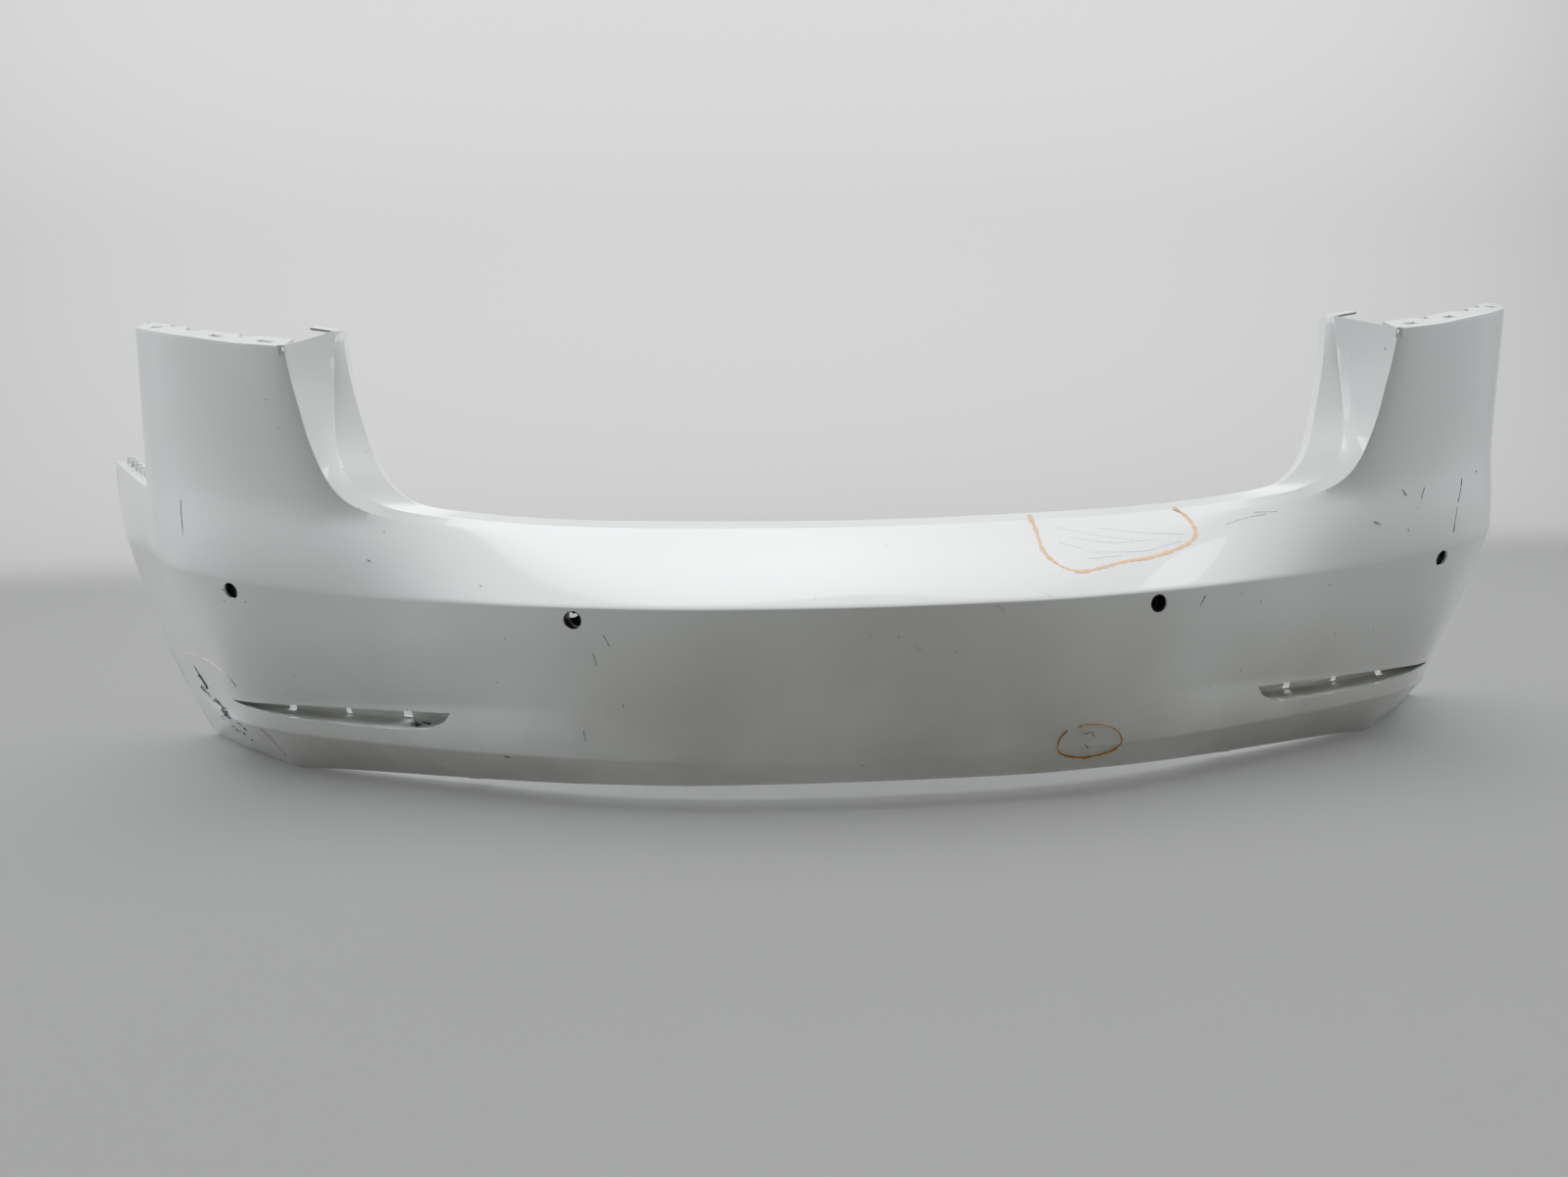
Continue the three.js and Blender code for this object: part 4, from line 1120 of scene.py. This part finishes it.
    def build(self) -> None:
        """Builds the skin and hands it to the frame."""
        piece = self.sheet()
        bevel = piece.modifiers.new("round", "BEVEL")
        bevel.width, bevel.segments = self.edge_round * MM, 3
        bevel.limit_method, bevel.angle_limit = "ANGLE", math.radians(24)
        bevel.use_clamp_overlap = True
        wall = piece.modifiers.new("wall", "SOLIDIFY")
        wall.thickness, wall.offset = self.wall * MM, -1
        wall.use_even_offset, wall.use_quality_normals = True, True
        wall.material_offset, wall.material_offset_rim = 1, 0
        settle(piece)
        for sign in (-1, 1):
            cup = self.trough(sign, self.pocket_wall, self.pocket_lip,
                              lambda v: self.floor_line(v) + self.pocket_wall, "cup")
            cut(piece, cup, "UNION")
            cut(piece, self.trough(sign, 0.0, -self.pocket_clear, self.floor_line, "room"))
        cut(piece, self.holes())
        cut(piece, self.scallops())
        smooth(piece)
        adopt(piece, "white_paint", "skin")


# ---------------------------------------------------------------- what repeats or follows a path


class PathNodes:
    """A Geometry Nodes tree with named inputs that turns drawn paths into one piece."""

    NAME: str
    INPUTS: dict[str, str]

    def __init__(self) -> None:
        """Makes the tree: the paths become curves, the shape grows on them, and it gets its material."""
        tree = self.tree = bpy.data.node_groups.new(self.NAME, "GeometryNodeTree")
        face = tree.interface
        face.new_socket("Geometry", in_out="OUTPUT", socket_type="NodeSocketGeometry")
        face.new_socket("Geometry", in_out="INPUT", socket_type="NodeSocketGeometry")
        self.sockets = {key: face.new_socket(key, in_out="INPUT", socket_type=kind).identifier
                        for key, kind in {**self.INPUTS, "Finish": "NodeSocketMaterial"}.items()}
        into = node(tree, "NodeGroupInput")
        path = node(tree, "GeometryNodeMeshToCurve", None, {0: into.outputs["Geometry"]})
        real = node(tree, "GeometryNodeRealizeInstances", None, {0: self.grow(into, path.outputs[0])})
        dressed = node(tree, "GeometryNodeSetMaterial", None,
                       {"Geometry": real.outputs[0], "Material": into.outputs["Finish"]})
        node(tree, "NodeGroupOutput", None, {0: dressed.outputs[0]})

    def grow(self, into: bpy.types.Node, path: bpy.types.NodeSocket) -> bpy.types.NodeSocket:
        """Adds the nodes that grow the shape on the curve.

        Args:
            into: the tree's input node.
            path: the curve.

        Returns:
            The shape's socket; the bare curve here.
        """
        return path

    def piece(self, name: str, paths: Sequence[np.ndarray], finish: Palette, values: dict) -> bpy.types.Object:
        """Makes a piece from paths.

        Args:
            name: the new piece's name.
            paths: each path's points in metres.
            finish: its material.
            values: the tree's own inputs and their values.

        Returns:
            The piece, a plain mesh.
        """
        points, edges = [], []
        for path in paths:
            edges += [(len(points) + k, len(points) + k + 1) for k in range(len(path) - 1)]
            points += [tuple(p) for p in path]
        mesh = bpy.data.meshes.new(name)
        mesh.from_pydata(points, edges, [])
        made = bpy.data.objects.new(name, mesh)
        bpy.context.scene.collection.objects.link(made)
        step = made.modifiers.new("paths", "NODES")
        step.node_group = self.tree
        for key, value in {**values, "Finish": finish.material()}.items():
            step[self.sockets[key]] = value
        return settle(made)


class Swept(PathNodes):
    """Strips that follow drawn paths on the paint: a flat oval swept along each, with an uneven width."""

    NAME = "strip_along_path"
    INPUTS = {"Width": "NodeSocketFloat", "Thickness": "NodeSocketFloat", "Spacing": "NodeSocketFloat",
              "Seed": "NodeSocketInt"}
    THINNEST, THICKEST = 0.45, 1.25

    def grow(self, into: bpy.types.Node, path: bpy.types.NodeSocket) -> bpy.types.NodeSocket:
        """Adds the sweep.

        Args:
            into: the tree's input node.
            path: the curve.

        Returns:
            The swept strip's socket.
        """
        tree = self.tree
        even = node(tree, "GeometryNodeResampleCurve", {"mode": "LENGTH"},
                    {"Curve": path, "Length": into.outputs["Spacing"]})
        random = node(tree, "FunctionNodeRandomValue", {"data_type": "FLOAT"},
                      {2: self.THINNEST, 3: self.THICKEST, "Seed": into.outputs["Seed"]})
        sized = node(tree, "GeometryNodeSetCurveRadius", None, {"Curve": even.outputs[0], "Radius": random.outputs[1]})
        ring = node(tree, "GeometryNodeCurvePrimitiveCircle", {"mode": "RADIUS"}, {"Resolution": 8, "Radius": 0.5})
        scale = node(tree, "ShaderNodeCombineXYZ", None,
                     {0: into.outputs["Width"], 1: into.outputs["Thickness"], 2: 1.0})
        oval = node(tree, "GeometryNodeTransform", None, {"Geometry": ring.outputs[0], "Scale": scale.outputs[0]})
        swept = node(tree, "GeometryNodeCurveToMesh", None,
                     {"Curve": sized.outputs[0], "Profile Curve": oval.outputs[0], "Fill Caps": True})
        if "Scale" in swept.inputs:
            feed(tree, swept, {"Scale": node(tree, "GeometryNodeInputRadius").outputs[0]})
        return swept.outputs[0]

    def run(self, name: str, paths: Sequence[np.ndarray], width: float, finish: Palette, seed: int,
            thick: float = 0.8, spacing: float = 3.0) -> bpy.types.Object:
        """Sweeps strips along paths.

        Args:
            name: the new piece's name.
            paths: each path's points in metres.
            width: the strip's width in millimetres.
            finish: its material.
            seed: the number that fixes its uneven width.
            thick: how thick it is in millimetres.
            spacing: how far apart its sections are in millimetres.

        Returns:
            The swept piece.
        """
        made = self.piece(name, paths, finish, {"Width": width * MM, "Thickness": thick * MM,
                                                "Spacing": spacing * MM, "Seed": seed})
        close(made)
        smooth(made, 60)
        return made


class RowOfTabs(PathNodes):
    """Small tapered tabs that stand in a row along a path and turn with it."""

    NAME = "tabs_in_a_row"
    INPUTS = {"Count": "NodeSocketInt", "Long": "NodeSocketFloat", "Wide": "NodeSocketFloat",
              "Tall": "NodeSocketFloat"}
    TAPER, MIDDLE = -0.35, 0.8
    EDGE = 0.5

    def grow(self, into: bpy.types.Node, path: bpy.types.NodeSocket) -> bpy.types.NodeSocket:
        """Adds the tapered tabs.

        Args:
            into: the tree's input node.
            path: the curve.

        Returns:
            The row's socket.
        """
        tree, given = self.tree, into.outputs
        spots = node(tree, "GeometryNodeCurveToPoints", {"mode": "COUNT"}, {"Curve": path, "Count": given["Count"]})
        size = node(tree, "ShaderNodeCombineXYZ", None, {0: given["Tall"], 1: given["Wide"], 2: given["Long"]})
        block = node(tree, "GeometryNodeMeshCube", None,
                     {"Size": size.outputs[0], "Vertices X": 2, "Vertices Y": 3, "Vertices Z": 4})
        place = node(tree, "GeometryNodeInputPosition")
        parts = node(tree, "ShaderNodeSeparateXYZ", None, {0: place.outputs[0]})
        share = node(tree, "ShaderNodeMath", {"operation": "DIVIDE"}, {0: parts.outputs[0], 1: given["Tall"]})
        taper = node(tree, "ShaderNodeMath", TIMES_PLUS, {0: share.outputs[0], 1: self.TAPER, 2: self.MIDDLE})
        slim = node(tree, "ShaderNodeMath", TIMES, {0: parts.outputs[1], 1: taper.outputs[0]})
        short = node(tree, "ShaderNodeMath", TIMES, {0: parts.outputs[2], 1: taper.outputs[0]})
        joined = node(tree, "ShaderNodeCombineXYZ", None,
                      {0: parts.outputs[0], 1: slim.outputs[0], 2: short.outputs[0]})
        tapered = node(tree, "GeometryNodeSetPosition", None,
                       {"Geometry": block.outputs[0], "Position": joined.outputs[0]})
        return node(tree, "GeometryNodeInstanceOnPoints", None,
                    {"Points": spots.outputs[0], "Instance": tapered.outputs[0],
                     "Rotation": spots.outputs[3]}).outputs[0]

    def run(self, name: str, path: np.ndarray, count: int, size: Sequence[float],
            finish: Palette) -> bpy.types.Object:
        """Sets tabs along a path.

        Args:
            name: the new piece's name.
            path: the path's points in metres.
            count: how many tabs.
            size: the tab's length along the path, its width and its height in millimetres.
            finish: its material.

        Returns:
            The row as one piece.
        """
        made = self.piece(name, [path], finish, {"Count": count, "Long": size[0] * MM, "Wide": size[1] * MM,
                                                 "Tall": size[2] * MM})
        edge = made.modifiers.new("edge", "BEVEL")
        edge.width, edge.segments, edge.limit_method = self.EDGE * MM, 2, "ANGLE"
        settle(made)
        close(made)
        smooth(made, 40)
        return made


@dataclass
class WingTabs:
    """The row of moulded tabs that stand on each wing's top flange, between its snap windows."""

    form: CoverForm
    count: int = 7
    size: tuple[float, float, float] = (6.0, 13.0, 9.0)
    inset: float = 15.0
    sunk: float = 2.0
    reach: tuple[float, float] = (815.0, 926.0)
    inward: tuple[float, float] = Skin.inward

    def build(self, rows: RowOfTabs) -> None:
        """Builds both rows and hands them to the frame.

        Args:
            rows: what sets the tabs along a path.
        """
        x = np.linspace(*self.reach, 24)
        belt = self.form.belt
        for side, sign in (("left", -1), ("right", 1)):
            path = np.stack([sign * (x + self.inward[0] * self.inset), belt.y(x) + self.inward[1] * self.inset,
                             belt.z(x) + self.size[2] / 2 - self.sunk], -1)
            piece = rows.run(f"wing_tabs_{side}", self.form.to_frame(path), self.count, self.size, Palette.PAINT)
            adopt(piece, "white_paint")


@dataclass
class Marks:
    """The wear on the paint: crayon rings, scuffs, scratches and a crack."""

    form: CoverForm
    ring: Drawn = ((179, 87), (181, 72), (180, 57), (188, 43), (200, 36), (214, 33), (236, 36), (259, 40), (288, 43),
                   (325, 51), (346, 60), (351, 68), (349, 77), (345, 84), (337, 91))
    oval: Drawn = ((208, -122), (219, -120), (237, -123), (254, -132), (258, -142), (253, -154), (236, -160),
                   (222, -161), (206, -157), (192, -150), (187, -142), (189, -133), (196, -125))
    faint: Sequence[Drawn] = (((-800, -73), (-772, -66), (-745, -64), (-727, -66), (-710, -73), (-697, -82),
                               (-692, -92)), ((-674, -138), (-668, -152), (-663, -168), (-659, -184)),
                              ((212, -128), (218, -131), (222, -127), (226, -134)))
    trails: Sequence[tuple] = (
        ((-786, -92), (-774, -112), 12, 13.0, -1.2, 7.0), ((-800, -118), (-778, -131), 9, 6.0, -0.5, 4.0),
        ((-776, -130), (-742, -134), 9, 7.0, -0.6, 3.5), ((-752, -131), (-726, -140), 22, 8.0, -0.75, 5.0),
        ((-716, -137), (-704, -152), 5, 4.0, -1.0, 3.0), ((-760, -152), (-700, -172), 7, 4.0, -0.4, 6.0))
    smear: tuple = ((-456, -119.5), (-478, -122.0), 14, 9.0, 0.05, 1.6)
    chips: Sequence[Drawn] = (((217, -142), (221, -146)), ((-525, 150), (-523, 148)), ((-485, 107), (-482, 105)),
                              ((21, 63), (23, 61)), ((-503, 58), (-500, 57)), ((-383, 33), (-381, 32)),
                              ((559, 254), (561, 251)), ((-372, -148), (-367, -149)), ((720, 120), (722, 118)))
    crack: Sequence[Drawn] = (((692, 112), (689, 98), (684, 86)), ((683, 80), (680, 66), (678, 52)),
                              ((600, 103), (606, 96)), ((560, 70), (570, 66)), ((632, 104), (627, 92)))
    scratches: Sequence[Drawn] = (
        ((205, 74), (240, 66), (280, 60)), ((215, 64), (260, 58), (306, 60)), ((230, 50), (280, 49), (330, 57)),
        ((250, 72), (300, 66), (338, 64)), ((225, 44), (262, 46)), ((200, 60), (222, 54)),
        ((385, 72), (407, 78), (432, 82)), ((420, 84), (446, 84)), ((-271, -32), (-268, -45)),
        ((-285, -112), (-284, -124)), ((343, 5), (337, -6)), ((-724, 120), (-723, 100), (-721, 82)),
        ((120, 6), (128, 2)), ((-260, -14), (-254, -26)), ((168, 16), (176, 12)), ((40, -30), (46, -36)))
    stand: float = 0.05
    sunk: float = 8.0

    def lay(self, drawn: Drawn, sink: float = 0.0) -> np.ndarray:
        """Lays a drawn line on the paint as a smooth path.

        Args:
            drawn: pairs of distance from the middle and height.
            sink: how far behind the face it lies.

        Returns:
            The path in metres.
        """
        pts = np.array(drawn, float)
        along = np.concatenate([[0], np.cumsum(np.hypot(*np.diff(pts, axis=0).T))])
        at = np.linspace(0, along[-1], max(3, int(along[-1] / 4)))
        flat = np.stack([hermite(list(zip(along, pts[:, k])), at) for k in (0, 1)], -1)
        return self.form.to_frame(self.form.on_face(flat, self.stand - sink))

    def strokes(self, trail: tuple, seed: int) -> list[Drawn]:
        """Scatters short rough strokes along a line.

        Args:
            trail: the line's two ends, how many strokes, how long they are, their slant and how far they stray.
            seed: the number that fixes where they fall.

        Returns:
            The strokes as drawn lines.
        """
        (x0, z0), (x1, z1), count, long, slant, stray = trail
        chance = np.random.default_rng(seed)
        strokes = []
        for _ in range(count):
            t, off, size, turn = chance.random(), *chance.normal(0, (stray / 2, 0.35, 0.35))
            half = long * (0.35 + abs(size)) / 2
            angle = slant + turn
            x, z = x0 + (x1 - x0) * t, z0 + (z1 - z0) * t + off
            dx, dz = half * math.cos(angle), half * math.sin(angle)
            strokes.append(((x - dx, z - dz), (x + 0.15 * dz, z - 0.15 * dx), (x + dx, z + dz)))
        return strokes

    def build(self, swept: Swept) -> None:
        """Builds every mark and hands it to the frame.

        Args:
            swept: what sweeps the strips.
        """
        for name, paths, width, finish, seed in (
                ("crayon_rings", [self.ring], 5.4, Palette.PENCIL, 3),
                ("crayon_oval", [self.oval], 3.6, Palette.PENCIL, 5),
                ("crayon_faint", self.faint, 1.8, Palette.FAINT_PENCIL, 7),
                ("corner_scuffs", [k for n, t in enumerate(self.trails) for k in self.strokes(t, n)], 3.0,
                 Palette.SCUFF, 11),
                ("paint_chips", self.chips, 2.2, Palette.SCUFF, 13),
                ("pillar_crack", self.crack, 1.0, Palette.SCUFF, 17),
                ("hairlines", self.scratches, 0.7, Palette.SCRATCH, 19)):
            adopt(swept.run(name, [self.lay(p) for p in paths], width, finish, seed), "")
        paths = [self.lay(p, self.sunk) for p in self.strokes(self.smear, 23)]
        adopt(swept.run("pocket_smear", paths, 2.4, Palette.SCUFF, 23, thick=0.6), "")


@dataclass
class SensorTongues:
    """The thin plates at the back of the sensor holders, each with a notch for the plug."""

    skin: Skin
    radius: float = 9.6
    thick: float = 1.4
    behind: float = 19.0
    notch: Drawn = ((4.6, -0.8), (0.6, 1.2), (2.2, 3.6), (5.0, 2.6))

    def build(self) -> None:
        """Builds the four plates and hands them to the frame."""
        form = self.skin.form
        for side, sign in (("left", -1), ("right", 1)):
            for place, x in zip(("inner", "outer"), self.skin.sensor_x):
                spot = self.skin.frame_on_face(sign * x, float(form.ridge.z(x)) - self.skin.sensor_drop, self.behind)
                corners, sides = self.plate(spot)
                piece = make_object(f"sensor_tongue_{side}_{place}", corners, sides, (Palette.PLASTIC,))
                close(piece)
                smooth(piece, 40)
                adopt(piece, "black_plastic")

    def plate(self, spot: Matrix) -> Solid:
        """Draws one notched plate.

        Args:
            spot: where its middle lies.

        Returns:
            Its corners and faces.
        """
        start, end, steps = 0.55, 2 * math.pi - 0.1, 40
        rim = [(self.radius * math.cos(a), self.radius * math.sin(a)) for a in np.linspace(start, end, steps)]
        return prism(spot, [*rim, *self.notch], self.thick / 2)


class Fittings:
    """The small pieces behind the skin, carried over from the frame and dressed."""

    PREFIXES = {"adhesive_ring": Palette.FOAM, "sensor_holder": Palette.PLASTIC, "wing_retainer": Palette.PLASTIC,
                "pillar_bracket": Palette.PLASTIC, "arch_nut": Palette.STEEL, "lower_nut": Palette.STEEL}

    def build(self) -> None:
        """Gives each carried-over piece its material."""
        for name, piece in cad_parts.items():
            for prefix, finish in self.PREFIXES.items():
                if name.startswith(prefix):
                    piece.data.materials.clear()
                    piece.data.materials.append(finish.material())
                    log.info("%s: dressed", name)


# ---------------------------------------------------------------- studio


@dataclass
class Studio:
    """The plain pale sweep, the soft lights and the camera."""

    eye: tuple[float, float, float] = (-0.1462, -1.3657, 0.3544)
    turn: tuple[float, float, float] = (83.508, 1.220, -3.287)
    lens: float = 27.02
    room_light: float = 0.17
    room_seen: float = 1.1
    room_tint: str = "eef1f4"

    def sweep(self) -> bpy.types.Object:
        """Lays the floor and its curved rise behind the piece, and returns it."""
        reach, rise, bend = 40.0, 9.0, 1.6
        back = 3.4
        profile = [(-reach, 0.0), (back, 0.0)]
        profile += [(back + bend * math.sin(a), bend - bend * math.cos(a)) for a in np.linspace(0.1, math.pi / 2, 14)]
        profile.append((back + bend, rise))
        points = [(side * reach, y, z) for y, z in profile for side in (-1, 1)]
        floor = make_object("sweep", points, [(2 * k, 2 * k + 1, 2 * k + 3, 2 * k + 2)
                                              for k in range(len(profile) - 1)], (Palette.STUDIO,))
        floor.data.shade_smooth()
        return floor

    def light(self, name: str, place: Sequence[float], aim: Sequence[float], size: tuple[float, float],
              power: float, tint: str = "ffffff", spread: float = 180.0,
              only: bpy.types.Collection | None = None) -> None:
        """Hangs a soft rectangular light.

        Args:
            name: the light's name.
            place: where it hangs.
            aim: what it points at.
            size: its two sides in metres.
            power: its power in watts.
            tint: its colour.
            spread: how wide its beam is, in degrees.
            only: what it is flagged to fall on, if not on everything.
        """
        data = bpy.data.lights.new(name, "AREA")
        data.spread = math.radians(spread)
        data.shape, data.size, data.size_y, data.energy = "RECTANGLE", *size, power
        data.color = linear(tint)[:3]
        made = bpy.data.objects.new(name, data)
        made.location = place
        made.rotation_euler = (Vector(aim) - Vector(place)).to_track_quat("-Z", "Y").to_euler()
        if only:
            made.light_linking.receiver_collection = only
        bpy.context.scene.collection.objects.link(made)

    def build(self) -> None:
        """Builds the studio."""
        cover, stage = bpy.data.collections.new("cover"), bpy.data.collections.new("stage")
        for piece in [o for o in bpy.context.scene.objects if o.type == "MESH"]:
            cover.objects.link(piece)
        stage.objects.link(self.sweep())
        # an arc of gridded softboxes, so that the whole shelf mirrors light and the face below stays calm
        self.light("overhead", (0, 0.12, 1.6), (0, -0.1, 0.24), (2.0, 0.9), 25, "f1f7ff", 52, cover)
        for side, power in ((-1, 8.5), (1, 7.0)):
            self.light(f"arc_near_{side + 2}", (side * 1.5, 0.05, 1.5), (side * 0.46, -0.14, 0.25), (1.0, 0.9),
                       power, "edf5ff", 55, cover)
            self.light(f"arc_far_{side + 2}", (side * 2.1, 0.05, 1.2), (side * 0.64, -0.08, 0.25), (0.8, 0.7),
                       power * 0.5, "edf5ff", 55, cover)
        self.light("backdrop", (0, 3.0, 3.9), (0, 5.6, 1.2), (9.0, 1.0), 330, "ffffff", 110)
        self.light("floor_wash", (0, 0.4, 3.2), (0, 0.2, 0), (6.0, 4.0), 96, "ffffff", 180, stage)
        self.light("front_fill", (0.2, -3.2, 2.4), (0, 0, 0.2), (2.4, 1.2), 5, "fffaf2")
        world = bpy.data.worlds.new("pale_room")
        world.use_nodes = True
        tree = world.node_tree
        seen = node(tree, "ShaderNodeLightPath").outputs["Is Camera Ray"]
        level = node(tree, "ShaderNodeMapRange", None,
                     {"Value": seen, "To Min": self.room_light, "To Max": self.room_seen})
        feed(tree, tree.nodes["Background"], {"Color": linear(self.room_tint), "Strength": level.outputs["Result"]})
        bpy.context.scene.world = world
        data = bpy.data.cameras.new("camera")
        data.lens, data.sensor_width, data.clip_end = self.lens, 36.0, 60.0
        camera = bpy.data.objects.new("camera", data)
        camera.location = self.eye
        camera.rotation_euler = Euler([math.radians(a) for a in self.turn], "XYZ")
        bpy.context.scene.collection.objects.link(camera)
        bpy.context.scene.camera = camera
        log.info("studio: ready")


def main() -> None:
    """Builds the cover piece by piece."""
    form = CoverForm()
    skin = Skin(form)
    skin.build()
    SensorTongues(skin).build()
    WingTabs(form).build(RowOfTabs())
    Marks(form).build(Swept())
    Fittings().build()
    Studio().build()


if __name__ == "__main__":
    main()
